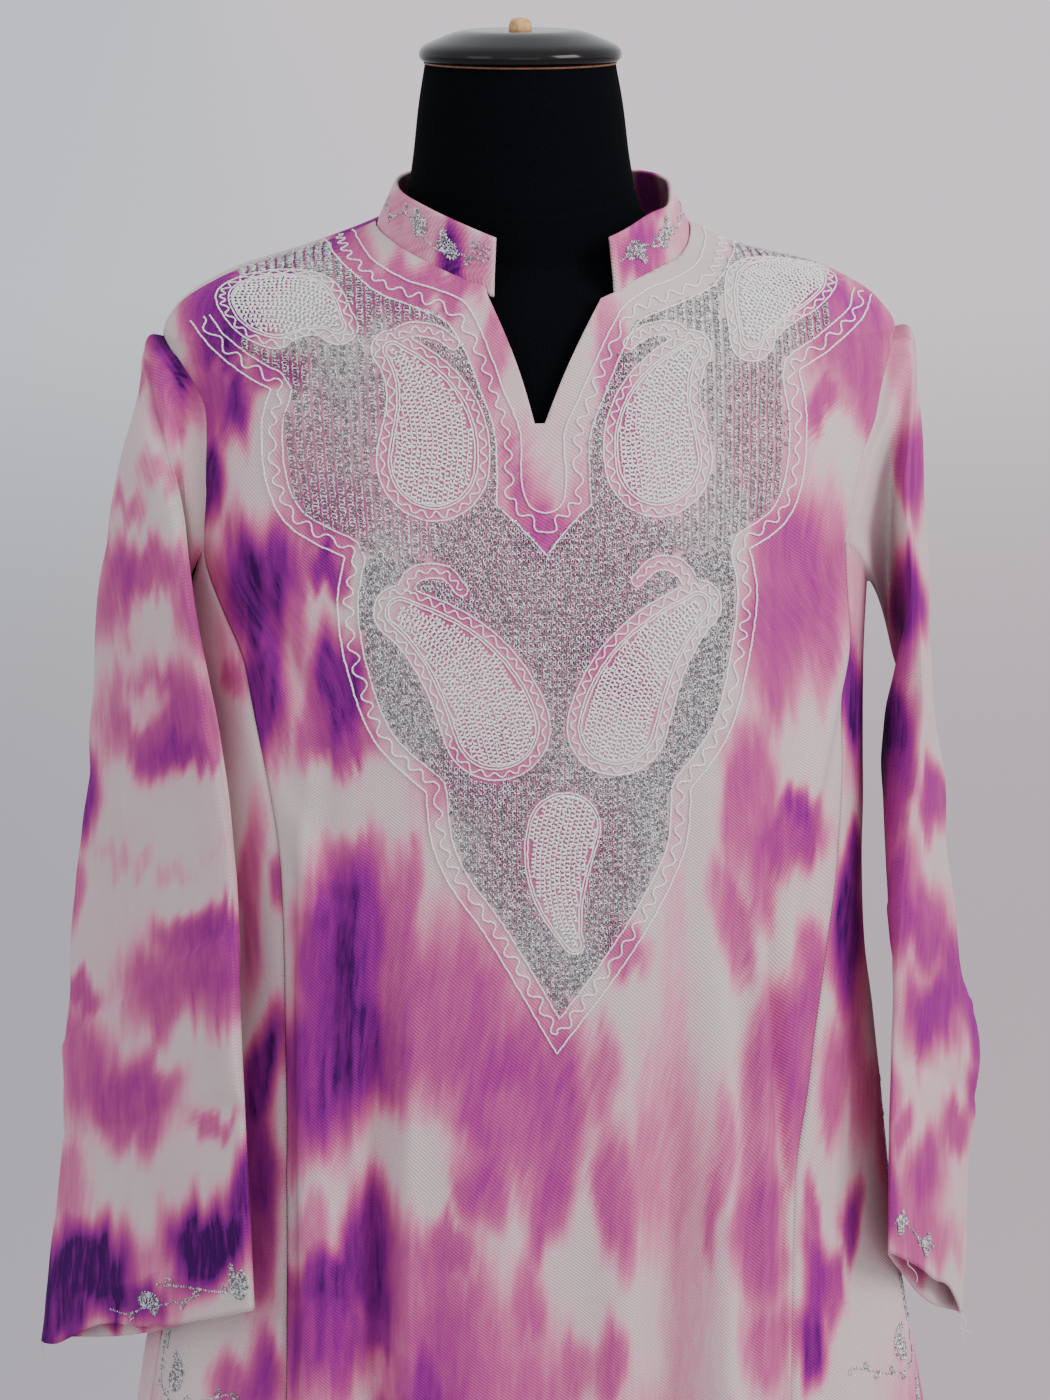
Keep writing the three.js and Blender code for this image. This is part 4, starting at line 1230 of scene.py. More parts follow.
@dataclass
class SideGores:
    """The four flared gores, with the pocket openings in their side seams."""

    body: WornBody
    finishes: Finishes
    thickness: float = 1.3
    rows: int = 170
    columns: int = 26
    pocket_top: float = 925.0
    pocket_bottom: float = 768.0
    pocket_half_gap: float = 5.6
    half_seam: float = 0.2
    top_gap: float = 0.6

    def build(self, side: int, face: Face) -> Piece:
        """Build one gore.

        Args:
            side: -1 for the left, 1 for the right.
            face: front or back.

        Returns:
            The finished gore.
        """
        facing = face.value
        share = np.linspace(0, 1, self.columns + 1)[None, :]
        if side * facing < 0:
            share = 1 - share
        rise = np.linspace(0, 1, self.rows + 1)[:, None]
        z = self.body.hem_z + (self.body.gore_top(1 - share) - self.top_gap - self.body.hem_z) * rise
        seam = self.body.side_seams.at("turn", z)
        edge = self.body.panel_edge_turn(side, face, z)
        opening = np.clip((z - self.pocket_bottom) / (self.pocket_top - self.pocket_bottom), 0, 1)
        gap = np.maximum(self.half_seam, self.pocket_half_gap * np.sin(np.pi * opening))
        at_panel = edge - facing * self.half_seam / self.body.per_degree(side * edge, z)
        at_seam = seam + facing * gap / self.body.per_degree(side * seam, z)
        turn = side * (at_seam + (at_panel - at_seam) * share)
        size = self.body.per_degree(turn, z)
        width = np.abs(at_panel - at_seam) * size
        rolled = hump(share * width, self.body.seam_roll_width) + hump((1 - share) * width, self.body.seam_roll_width)
        points = self.body.point(turn, z, self.body.turned_edges(rolled, z))
        flat = np.stack([lengths_along(points, 1), lengths_along(points, 0)], -1).reshape(-1, 2)
        dye, places = (GORE_DYE, VIEW.places) if face is Face.FRONT else (BACK_DYE, from_behind)
        depth = dye.at(*places(points)).ravel()
        side_name = "left" if side < 0 else "right"
        face_name = "front" if face is Face.FRONT else "back"
        piece = make_object(f"gore_{side_name}_{face_name}_cloth", points.reshape(-1, 3), grid_faces(*turn.shape))
        finish_cloth(piece, flat, depth, self.thickness, self.finishes.twill, f"gore_{side_name}_{face_name}")
        return piece


@dataclass
class Sleeves:
    """The straight sleeves, each hanging nearly flat between a fore crease and a rear one."""

    body: WornBody
    finishes: Finishes
    thickness: float = 1.1
    rows: int = 170
    columns: int = 68
    left_stations: Table = Table(
        "at fore_x fore_y fore_z rear_x rear_y rear_z outer facing inner tuck",
        (0, -187, 8, 1338, -188, 0, 1199, 50, 90, 50, 90), (0.07, -195, -10, 1311, -202, 37, 1182, 34, 146, 49, 107),
        (0.16, -190, -46, 1282, -224, 42, 1128, 23, 176, 12, 121),
        (0.28, -182, -78, 1214, -238, 46, 1078, 14, 194, 5, 177),
        (0.42, -172, -93, 1138, -250, 44, 1018, 11, 205, 13, 178),
        (0.56, -163, -102, 1062, -256, 38, 950, 10, 212, 7, 212),
        (0.7, -162, -106, 985, -261, 32, 885, 10, 215, 7, 215),
        (0.85, -160, -110, 904, -269, 22, 822, 10, 220, 7, 220), (1, -158, -112, 826, -277, 10, 760, 10, 225, 7, 225),
    )
    right_stations: Table = Table(
        "at fore_x fore_y fore_z rear_x rear_y rear_z outer facing inner tuck",
        (0, 197, 8, 1338, 190, 0, 1199, 50, 90, 50, 90), (0.07, 204, -14, 1309, 212, 38, 1151, 28, 60, 22, 59),
        (0.16, 204, -38, 1278, 226, 54, 1128, 10, 18, 28, 62), (0.28, 206, -57, 1216, 238, 70, 1078, 8, -6, 18, 53),
        (0.42, 209, -67, 1140, 248, 74, 1018, 8, -12, 25, -12),
        (0.56, 199, -79, 1062, 260, 66, 950, 10, -20, 18, -20), (0.7, 195, -87, 988, 273, 60, 880, 10, -24, 8, -24),
        (0.85, 193, -93, 912, 269, 56, 806, 10, -24, 5, -24), (1, 193, -97, 838, 266, 50, 736, 10, -24, 4, -24),
    )
    uneven: Noise = Noise(41)
    girth: float = 400.0
    length: float = 600.0
    joined_by: float = 0.14
    stand_out: float = 16.0
    roundness: float = 0.72
    head_puff: Place = (6.0, 2.0)
    cuff_from: float = 0.94
    cuff_waves: tuple[tuple[float, ...], ...] = ((5.5, 0.30, 0.05), (-3.5, 0.41, 0.05), (-7.0, 0.72, 0.12))
    seam_gap: float = 0.25
    tuck: float = 4.0

    def armhole(self, side: int, share: Array, tucked: float = 0.0) -> Array:
        """Return the armhole's edge: down the back from the shoulder, and up the front.

        Args:
            side: -1 for the left, 1 for the right.
            share: 0 to 1 round the edge.
            tucked: how far the edge reaches in under the panels, in millimetres.

        Returns:
            Points.
        """
        points = np.zeros((len(share), 3))
        for index, at in enumerate(share):
            face = Face.BACK if at <= 0.5 else Face.FRONT
            down = 2 * at if at <= 0.5 else 2 * (1 - at)
            if down <= 0.5:
                z = self.body.shoulder_tip_z + (self.body.underarm_z - self.body.shoulder_tip_z) * down * 2
                turn = side * self.body.panel_edge_turn(side, face, z)
                normal = self.body.normal(turn, np.array(z))
                away = unit(np.array([side, 0, 0]) - side * normal[0] * normal)
                points[index] = self.body.point(turn, z) + away * (self.seam_gap - tucked) - normal * 0.36 * tucked
            else:
                inwards = (down - 0.5) / 0.5
                z = self.body.gore_top(inwards)
                edge = self.body.panel_edge_turn(side, face, self.body.underarm_z)
                points[index] = self.body.point(side * (edge + (90 - edge) * inwards), z)
        return points

    def surface(self, side: int, share: Array, at: Array) -> Array:
        """Return the sleeve's outer points.

        Args:
            side: -1 for the left, 1 for the right.
            share: 0 to 1 round the sleeve, of shape (columns,).
            at: 0 at the armhole to 1 at the cuff, of shape (rows,).

        Returns:
            Points of shape (rows, columns, 3).
        """
        stations = self.left_stations if side < 0 else self.right_stations
        value = lambda name: stations.at(name, at)[:, None]
        corner = lambda end: np.stack([value(f"{end}_x"), value(f"{end}_y"), value(f"{end}_z")], -1)
        aimed = lambda name: np.radians(value(name))
        heading = lambda name: np.stack([np.cos(aimed(name)), np.sin(aimed(name)), 0 * value(name)], -1)
        angle = 2 * np.pi * share[None, :]
        toward_rear = ((1 - np.cos(angle)) / 2)[..., None]
        bow = np.abs(np.sin(angle)) ** self.roundness
        outer_side = (np.sin(angle) > 0)[..., None]
        out = heading("facing") * value("outer")[..., None]
        back = -heading("tuck") * value("inner")[..., None]
        flat = corner("fore") * (1 - toward_rear) + corner("rear") * toward_rear
        flat = flat + np.where(outer_side, out, back) * bow[..., None]
        joined = (1 - smooth_step(at / self.joined_by))[:, None, None]
        edge = self.armhole(side, share)[None] + np.zeros((len(at), 1, 1))
        edge[..., 0] += side * self.stand_out * np.minimum(1, at / self.joined_by)[:, None]
        points = flat * (1 - joined) + edge * joined
        head = np.sin(np.pi * np.clip(at / 0.22, 0, 1) ** 0.6)[:, None] * hump(np.minimum(share, 1 - share), 0.15)
        points[..., 0] += side * self.head_puff[0] * head
        points[..., 2] += self.head_puff[1] * head
        cuff = smooth_step((at - self.cuff_from) / (1 - self.cuff_from))[:, None]
        points[..., 2] += cuff * sum(rise * hump(share - middle, width) for rise, middle, width in self.cuff_waves)
        lift = self.creases(self.length * at[:, None], self.girth * share[None, :])
        lift = lift * np.minimum(1, bow * 2) * smooth_step(at / 0.12)[:, None]
        return points + lift[..., None] * heading("facing") * np.where(outer_side, 1, -0.4)

    def creases(self, down: Array, around: Array) -> Array:
        """Return how far wrinkles, the folded-over step and a slanting crease lift the cloth.

        Args:
            down: millimetres from the armhole.
            around: millimetres round from the fore crease.

        Returns:
            The lift.
        """
        wrinkles = 2.0 * self.uneven.at(around + 0.5 * down, down, 46, 60)
        wrinkles = wrinkles + 0.9 * self.uneven.at(around + 90 - 0.6 * down, down, 17, 28)
        step = 2.6 * smooth_step((down - 358) / 7) * np.exp(-np.maximum(down - 365, 0) / 42)
        return wrinkles + step - 1.6 * hump(down - 470 + 0.2 * around, 7)

    def build(self, side: int) -> Piece:
        """Build one sleeve.

        Args:
            side: -1 for the left, 1 for the right.

        Returns:
            The finished sleeve.
        """
        share = np.arange(self.columns) / self.columns
        at = np.linspace(0, 1, self.rows + 1) ** 1.15
        points = np.concatenate([self.armhole(side, share, self.tuck)[None], self.surface(side, share, at)])
        faces = grid_faces(self.rows + 2, self.columns, closed=True)
        if self._points_in(points, faces):
            faces = faces[:, ::-1]
        flat = np.stack([np.broadcast_to(self.girth * share, points.shape[:2]), -lengths_along(points, 0)], -1)
        dye = LEFT_SLEEVE_DYE if side < 0 else RIGHT_SLEEVE_DYE
        depth = dye.at(*VIEW.places(points)).ravel()
        name = "left" if side < 0 else "right"
        piece = make_object(f"sleeve_{name}_cloth", points.reshape(-1, 3), faces)
        finish_cloth(piece, flat.reshape(-1, 2), depth, self.thickness, self.finishes.twill, f"sleeve_{name}")
        return piece

    @staticmethod
    def _points_in(points: Array, faces: Array) -> bool:
        """Tell whether the faces of a tube point inwards.

        Args:
            points: the tube's grid of points.
            faces: its faces.

        Returns:
            Whether they do.
        """
        flat = points.reshape(-1, 3)
        corner = flat[faces]
        normal = np.cross(corner[:, 1] - corner[:, 0], corner[:, 2] - corner[:, 0])
        middle = points.mean(axis=1)
        row = np.repeat(np.arange(points.shape[0] - 1), points.shape[1])
        outwards = corner.mean(axis=1) - middle[row]
        return float((normal * outwards).sum()) < 0


def over_shoulder(body: WornBody, x: Array, y: Array) -> Array:
    """Return the height at which the worn shoulders pass over places near the neck.

    Args:
        body: the worn shape.
        x: distance from the middle line.
        y: distance behind it.

    Returns:
        Heights.
    """
    low = np.full(np.shape(x), body.shoulder_tip_z)
    high = np.full(np.shape(x), 1416.0)
    for _ in range(26):
        middle = (low + high) / 2
        centre = body.rings.at("centre_y", middle)
        ahead = y < centre
        power = body.rings.pick(ahead, "power", "back_power", middle)
        half = body.rings.pick(x < 0, "left", "right", middle)
        depth = body.rings.pick(ahead, "front", "back", middle)
        inside = (np.abs(x) / half) ** power + (np.abs(y - centre) / depth) ** power < 1
        low = np.where(inside, middle, low)
        high = np.where(inside, high, middle)
    return low


@dataclass
class BandCollar:
    """The split band collar, eased in at the right so that it waves."""

    body: WornBody
    neck: NeckCut
    finishes: Finishes
    thickness: float = 1.9
    start_turn: float = 25.0
    end_turn: float = 340.5
    profile: Table = Table("turn height lean", (0, 27, 3), (50, 26, 7), (90, 22, 10), (135, 25, 10), (180, 28, 8))
    columns: int = 190
    rows: int = 15
    seam_level: float = -0.13
    band_height: float = 26.0
    inset: float = 0.5

    def surface(self, turn: Array, level: Array) -> Array:
        """Return outer points of the band.

        Args:
            turn: degrees round from the front.
            level: 0 at the foot to 1 at the top edge.

        Returns:
            Points.
        """
        from_front = np.where(turn > 180, 360 - turn, turn)
        wave = 1.4 * hump(turn - 52, 26) * np.sin(np.radians(turn * 7))
        across, ahead = np.sin(np.radians(turn)), -np.cos(np.radians(turn))
        wide, deep = self.neck.half_width - self.inset, self.neck.half_depth - self.inset
        bottom = over_shoulder(self.body, self.neck.centre_x + wide * across, deep * ahead) - 0.8
        lean = (self.profile.at("lean", from_front) - wave) * np.maximum(level, 0)
        top_wave = np.sin(np.radians(turn * 9)) * hump(turn - 48, 24) * level
        height = bottom + self.profile.at("height", from_front) * level + top_wave
        return np.stack([self.neck.centre_x + (wide - lean) * across, (deep - lean) * ahead, height], -1)

    def build(self) -> Piece:
        """Build the collar.

        Returns:
            The finished collar.
        """
        turn = np.linspace(self.start_turn, self.end_turn, self.columns)[None, :]
        level = np.linspace(self.seam_level, 1, self.rows)[:, None]
        edge = np.minimum(level, 1 - level) * self.band_height
        points = self.surface(turn + 0 * level, level + 0 * turn)
        outwards = np.stack([np.sin(np.radians(turn)), -np.cos(np.radians(turn)), 0 * turn], -1)
        points = points - outwards * (0.5 * hump(edge, 1.6))[..., None]
        flat = np.stack([lengths_along(points, 1), lengths_along(points, 0)], -1).reshape(-1, 2)
        depth = COLLAR_DYE.at(*VIEW.places(points)).ravel()
        piece = make_object("band_collar", points.reshape(-1, 3), grid_faces(self.rows, self.columns))
        finish_cloth(piece, flat, depth, self.thickness, self.finishes.twill, "collar")
        return piece


# The embroidery, laid out flat and then carried onto the worn front


class Chart:
    """A part of the cloth laid flat, for the needle."""

    points: Array
    normals: Array

    def above(self, row: Array, column: Array, lift: Array | float) -> tuple[Array, Array]:
        """Return points over the worn cloth, and its normals there.

        Args:
            row: places up the chart's grid.
            column: places across it.
            lift: height above the cloth.

        Returns:
            Points and normals.
        """
        normal = unit(sample(self.normals, row, column))
        lift = np.broadcast_to(lift, column.shape)[..., None]
        return sample(self.points, row, column) + normal * lift, normal


@dataclass
class FrontChart(Chart):
    """The front laid flat: u across, v up, equal to the height below the yoke and to the cloth's length above it."""

    body: WornBody
    start: float = 900.0
    flat_z: float = 1300.0
    step: float = 2.0
    points: Array = field(init=False)
    normals: Array = field(init=False)
    columns: Array = field(init=False)
    ridge: Array = field(init=False)

    def __post_init__(self) -> None:
        """Walk up the front, over the shoulder and a little down the back at each u."""
        self.columns = np.arange(-184, 194.1, self.step)
        top = over_shoulder(self.body, self.columns, np.zeros_like(self.columns) + 9)
        low = np.arange(self.start, self.flat_z, self.step)[:, None] + 0 * top
        rise = 1 - (1 - np.linspace(0, 1, 110)) ** 2
        high = self.flat_z + (top - 0.02 - self.flat_z) * rise[:, None]
        behind = top - 0.02 - 46 * np.linspace(0, 1, 60)[1:, None] ** 2
        front_z = np.concatenate([low, high])
        across = np.broadcast_to(self.columns, front_z.shape)
        front = self.body.point(self.body.turn_at(across, Face.FRONT, front_z), front_z)
        back = self.body.point(self.body.turn_at(0 * behind + self.columns, Face.BACK, behind), behind)
        path = np.concatenate([front, back])
        length = lengths_along(path, 0)
        turning = len(low)
        length = length - length[turning] + self.flat_z
        length[:turning] = low
        self.ridge = length[len(front_z) - 1]
        self.rows = np.arange(self.start, 1500, self.step)
        self.points = np.stack(
            [
                np.stack([np.interp(self.rows, length[:, i], path[:, i, k]) for k in range(3)], -1)
                for i in range(len(self.columns))
            ],
            1,
        )
        self.normals = unit(np.cross(np.gradient(self.points, axis=1), np.gradient(self.points, axis=0)))

    def at(self, flat: Array, lift: Array | float = 0.0) -> tuple[Array, Array]:
        """Return points and normals over flat places, u and v on the last axis."""
        column, row = (flat[..., 0] - self.columns[0]) / self.step, (flat[..., 1] - self.rows[0]) / self.step
        return self.above(row, column, lift)

    def ridge_at(self, u: Array) -> Array:
        """Return the v of the shoulder's ridge."""
        return np.interp(u, self.columns, self.ridge)


KNOT_STEPS = 24
KNOT_PULL = 0.5
CORNER_PULL = 0.15


def smooth_path(points: Sequence[Place] | Array, step: float, closed: bool = False) -> Array:
    """Draw a smooth line through points. A point given twice makes a corner.

    Args:
        points: places on the flat cloth.
        step: distance between the line's points.
        closed: whether the line ends where it starts.

    Returns:
        Evenly spaced points.
    """
    knots = np.asarray(points, float)
    before = knots[-1:] if closed else 2 * knots[:1] - knots[1:2]
    after = knots[:2] if closed else 2 * knots[-1:] - knots[-2:-1]
    padded = np.concatenate([before, knots, after])
    pieces = []
    for index in range(len(padded) - 3):
        a, b, c, d = padded[index : index + 4]
        if np.allclose(b, c):
            continue
        into = (c - a) * (CORNER_PULL if np.allclose(a, b) else KNOT_PULL)
        out = (d - b) * (CORNER_PULL if np.allclose(c, d) else KNOT_PULL)
        t = np.linspace(0, 1, KNOT_STEPS, endpoint=False)[:, None]
        pieces.append(curve(b, c, into, out, t))
    line = np.concatenate(pieces + [knots[:1] if closed else knots[-1:]])
    return evenly(line, step)


def evenly(line: Array, step: float) -> Array:
    """Return a line's points set evenly, about a step apart.

    Args:
        line: the line.
        step: the distance from point to point.

    Returns:
        The new points.
    """
    length = np.concatenate([[0], np.cumsum(np.linalg.norm(np.diff(line, axis=0), axis=1))])
    count = max(4, int(round(length[-1] / step)) + 1)
    place = np.linspace(0, length[-1], count)
    return np.stack([np.interp(place, length, line[:, 0]), np.interp(place, length, line[:, 1])], -1)


def sideways(line: Array) -> Array:
    """Return unit vectors to the left of a flat line."""
    ahead = unit(np.gradient(line, axis=0))
    return np.stack([-ahead[:, 1], ahead[:, 0]], -1)


def inside(polygon: Array, points: Array) -> Array:
    """Tell which flat points lie inside a polygon.

    Args:
        polygon: its corners.
        points: the points.

    Returns:
        Whether each is inside.
    """
    x, y = points[..., 0], points[..., 1]
    result = np.zeros(x.shape, bool)
    for (ax, ay), (bx, by) in zip(polygon, np.roll(polygon, -1, axis=0)):
        if ay == by:
            continue
        crosses = (ay > y) != (by > y)
        result ^= crosses & (x < (bx - ax) * (y - ay) / (by - ay) + ax)
    return result


def runs(line: Array, keep: Array, least: int = 5) -> list[Array]:
    """Split a line into the stretches that are kept."""
    edges = np.flatnonzero(np.diff(np.concatenate([[0], keep.astype(int), [0]])))
    return [line[a:b] for a, b in zip(edges[::2], edges[1::2]) if b - a >= least]


def beside(line: Array, distance: float, step: float) -> Array:
    """Return the line that runs at a distance to the left of another, without the loops of tight corners.

    Args:
        line: the other line.
        distance: how far off.
        step: the distance from point to point.

    Returns:
        The new line.
    """
    moved = line + sideways(line) * distance
    gap = np.linalg.norm(moved[:, None] - line[None], axis=2).min(axis=1)
    return evenly(moved[gap > 0.96 * abs(distance)], step)


def zigzag(line: Array, height: float, wave: float, seed: int) -> Array:
    """Return a wavy line along another.

    Args:
        line: the middle.
        height: how far the waves reach to each side.
        wave: their length.
        seed: which unevenness.

    Returns:
        The wavy line.
    """
    line = evenly(line, 0.9)
    noise = Noise(seed)
    length = np.arange(len(line)) * 0.9
    phase = length / wave + 0.22 * noise.at(length, 0 * length, 19, 1)
    swing = np.sin(2 * np.pi * phase)
    swing = np.sign(swing) * np.abs(swing) ** 0.8
    size = height * (1 + 0.28 * noise.at(length, 0 * length + 7, 13, 1))
    return line + sideways(line) * (swing * size)[:, None]


@dataclass
class Paisley:
    """A bent drop filled with rows of loops, in a ring with a hooked tail."""

    tip: Place
    belly: Place
    radius: float
    tip_radius: float
    bend: float
    tail: tuple[Place, ...] = ()
    clearance: float = 7.6
    tail_radius: float = 4.4
    ringed: bool = True

    def spine(self) -> tuple[Array, Array]:
        """Return the middle line from the tip to the belly, and the half width along it.

        Returns:
            The line's points and its half widths.
        """
        tip, belly = np.array(self.tip), np.array(self.belly)
        side = np.array([-(belly - tip)[1], (belly - tip)[0]])
        control = (tip + belly) / 2 + side * self.bend * 2
        share = np.linspace(0, 1, 60)[:, None]
        line = (1 - share) ** 2 * tip + 2 * share * (1 - share) * control + share**2 * belly
        width = self.tip_radius + (self.radius - self.tip_radius) * np.sin(share[:, 0] * np.pi / 2) ** 1.15
        return line, width

    def outline(self, extra: float, step: float = 0.9) -> Array:
        """Return the closed edge, moved outwards by an extra distance.

        Args:
            extra: the distance.
            step: the distance from point to point.

        Returns:
            The edge's points.
        """
        line, width = self.spine()
        side = sideways(line)
        width = width + extra
        left, right = line + side * width[:, None], (line - side * width[:, None])[::-1]
        end, start = self._cap(line, width, -1, 40), self._cap(line, width, 0, 40)
        return evenly(np.concatenate([left, end, right, start, left[:1]]), step)

    @staticmethod
    def _cap(line: Array, width: Array, end: int, count: int) -> Array:
        """Return the half circle round an end of a line.

        Args:
            line: the line.
            width: the half width along it.
            end: -1 for its last point, 0 for its first.
            count: how many points the half circle has, with its two ends, which are left out.

        Returns:
            The points.
        """
        angle = np.linspace(0, np.pi, count)[1:-1, None]
        side, ahead = sideways(line)[end], unit(np.gradient(line, axis=0))[end]
        return line[end] + width[end] * (1 if end else -1) * (side * np.cos(angle) + ahead * np.sin(angle))

    def tail_outline(self, extra: float) -> Array:
        """Return the closed edge of the hooked tail.

        Args:
            extra: how much wider than the tail.

        Returns:
            The edge's points.
        """
        line = smooth_path(self.tail, 0.9)
        side = sideways(line)
        share = np.linspace(0, 1, len(line))
        width = (self.tail_radius + extra) * (0.72 + 0.28 * (1 - share))
        left, right = line + side * width[:, None], (line - side * width[:, None])[::-1]
        return np.concatenate([left, self._cap(line, width, -1, 16), right])

    def rows(self, pitch: float) -> list[Array]:
        """Return the lines that the fill's loops follow, along the drop's length.

        Args:
            pitch: the distance from row to row.

        Returns:
            The lines.
        """
        line, width = self.spine()
        ahead = unit(np.gradient(line, axis=0))[-1]
        reach = np.linspace(0, 0.97, 20)[1:, None] * self.radius
        line = np.concatenate([line, line[-1] + ahead * reach])
        width = np.concatenate([width, np.sqrt(self.radius**2 - reach[:, 0] ** 2)])
        side = sideways(line)
        count = int(self.radius / pitch)
        found = []
        for row in range(-count, count + 1):
            found += runs(line + side * row * pitch, np.abs(row * pitch) < width - 0.5 * pitch)
        return found

    def ring(self) -> Array:
        """Return the ring round the drop as a polygon."""
        return self.outline(self.clearance)


@dataclass
class GridChart(Chart):
    """A small part of the cloth laid flat, from a grid of its points seen from the front."""

    points: Array
    width: float
    height: float
    normals: Array = field(init=False)

    def __post_init__(self) -> None:
        """Work out the normals, towards the viewer."""
        normal = unit(np.cross(np.gradient(self.points, axis=1), np.gradient(self.points, axis=0)))
        facing = (normal * (VIEW.eye() - self.points)).sum()
        self.normals = normal if facing > 0 else -normal

    def at(self, flat: Array, lift: Array | float = 0.0) -> tuple[Array, Array]:
        """Return points and normals over flat places, millimetres across and up on the last axis."""
        rows, columns = self.points.shape[:2]
        return self.above(flat[..., 1] / self.height * (rows - 1), flat[..., 0] / self.width * (columns - 1), lift)


@dataclass
class Needle:
    """Lays chain stitch and running loops on a part of the cloth, each a little uneven as by hand."""

    chart: FrontChart | GridChart
    stitch: float = 2.6
    wander: float = 0.14
    lean: float = 0.22
    sizes: Place = (0.85, 1.15)
    loop_points: int = 8

    def chain(self, threads: Threads, line: Array, radius: float, seed: int) -> None:
        """Lay a line of chain stitch.

        Args:
            threads: where it is added.
            line: its course on the flat cloth.
            radius: thread radius.
            seed: which unevenness.
        """
        line = evenly(line, 1.0)
        length = np.arange(len(line)) * 1.0
        noise = Noise(seed)
        line = line + sideways(line) * (0.22 * noise.at(length, 0 * length, 3.1, 1))[:, None]
        beat = 0.5 + 0.5 * np.cos(2 * np.pi * length / self.stitch)
        points, normals = self.chart.at(line, 0.25 + 0.3 * beat)
        threads.add(points[None], normals[None], (radius * (0.72 + 0.34 * beat))[None], 4)

    def loops(
        self, threads: Threads, rows: list[Array], pitch: float, size: Place, radius: float, sides: int,
        keep: Callable[[Array], Array] | None, seed: int,
    ) -> int:
        """Lay rows of running loops.

        Args:
            threads: where they are added.
            rows: courses on the flat cloth.
            pitch: distance from loop to loop.
            size: half of a loop's length and width.
            radius: thread radius.
            sides: how many sides the thread has.
            keep: tells which loops are kept.
            seed: which unevenness.

        Returns:
            How many loops were laid.
        """
        random = np.random.default_rng(seed)
        middles, aheads = [], []
        for row in rows:
            line = evenly(row, pitch)
            middles.append(line)
            aheads.append(unit(np.gradient(line, axis=0)))
        middle, ahead = np.concatenate(middles), np.concatenate(aheads)
        if keep is not None:
            kept = keep(middle)
            middle, ahead = middle[kept], ahead[kept]
        count = len(middle)
        middle = middle + random.normal(0, self.wander, (count, 2))
        turn = random.normal(0, self.lean, count)
        cos, sin = np.cos(turn)[:, None], np.sin(turn)[:, None]
        side = np.stack([-ahead[:, 1], ahead[:, 0]], -1)
        ahead, side = ahead * cos + side * sin, side * cos - ahead * sin
        t = np.linspace(-0.5, 0.5, self.loop_points)[None, :, None]
        long = size[0] * random.uniform(*self.sizes, (count, 1, 1))
        wide = size[1] * random.uniform(*self.sizes, (count, 1, 1))
        flat = (
            middle[:, None]
            + ahead[:, None] * (pitch * t - long * np.sin(2 * np.pi * t))
            + side[:, None] * (wide * np.cos(2 * np.pi * t))
        )
        lift = radius * (0.55 + 1.0 * np.cos(np.pi * t[..., 0])) + random.uniform(-0.05, 0.08, (count, 1))
        points, normals = self.chart.at(flat, lift)
        threads.add(points, normals, radius, sides)
        return count


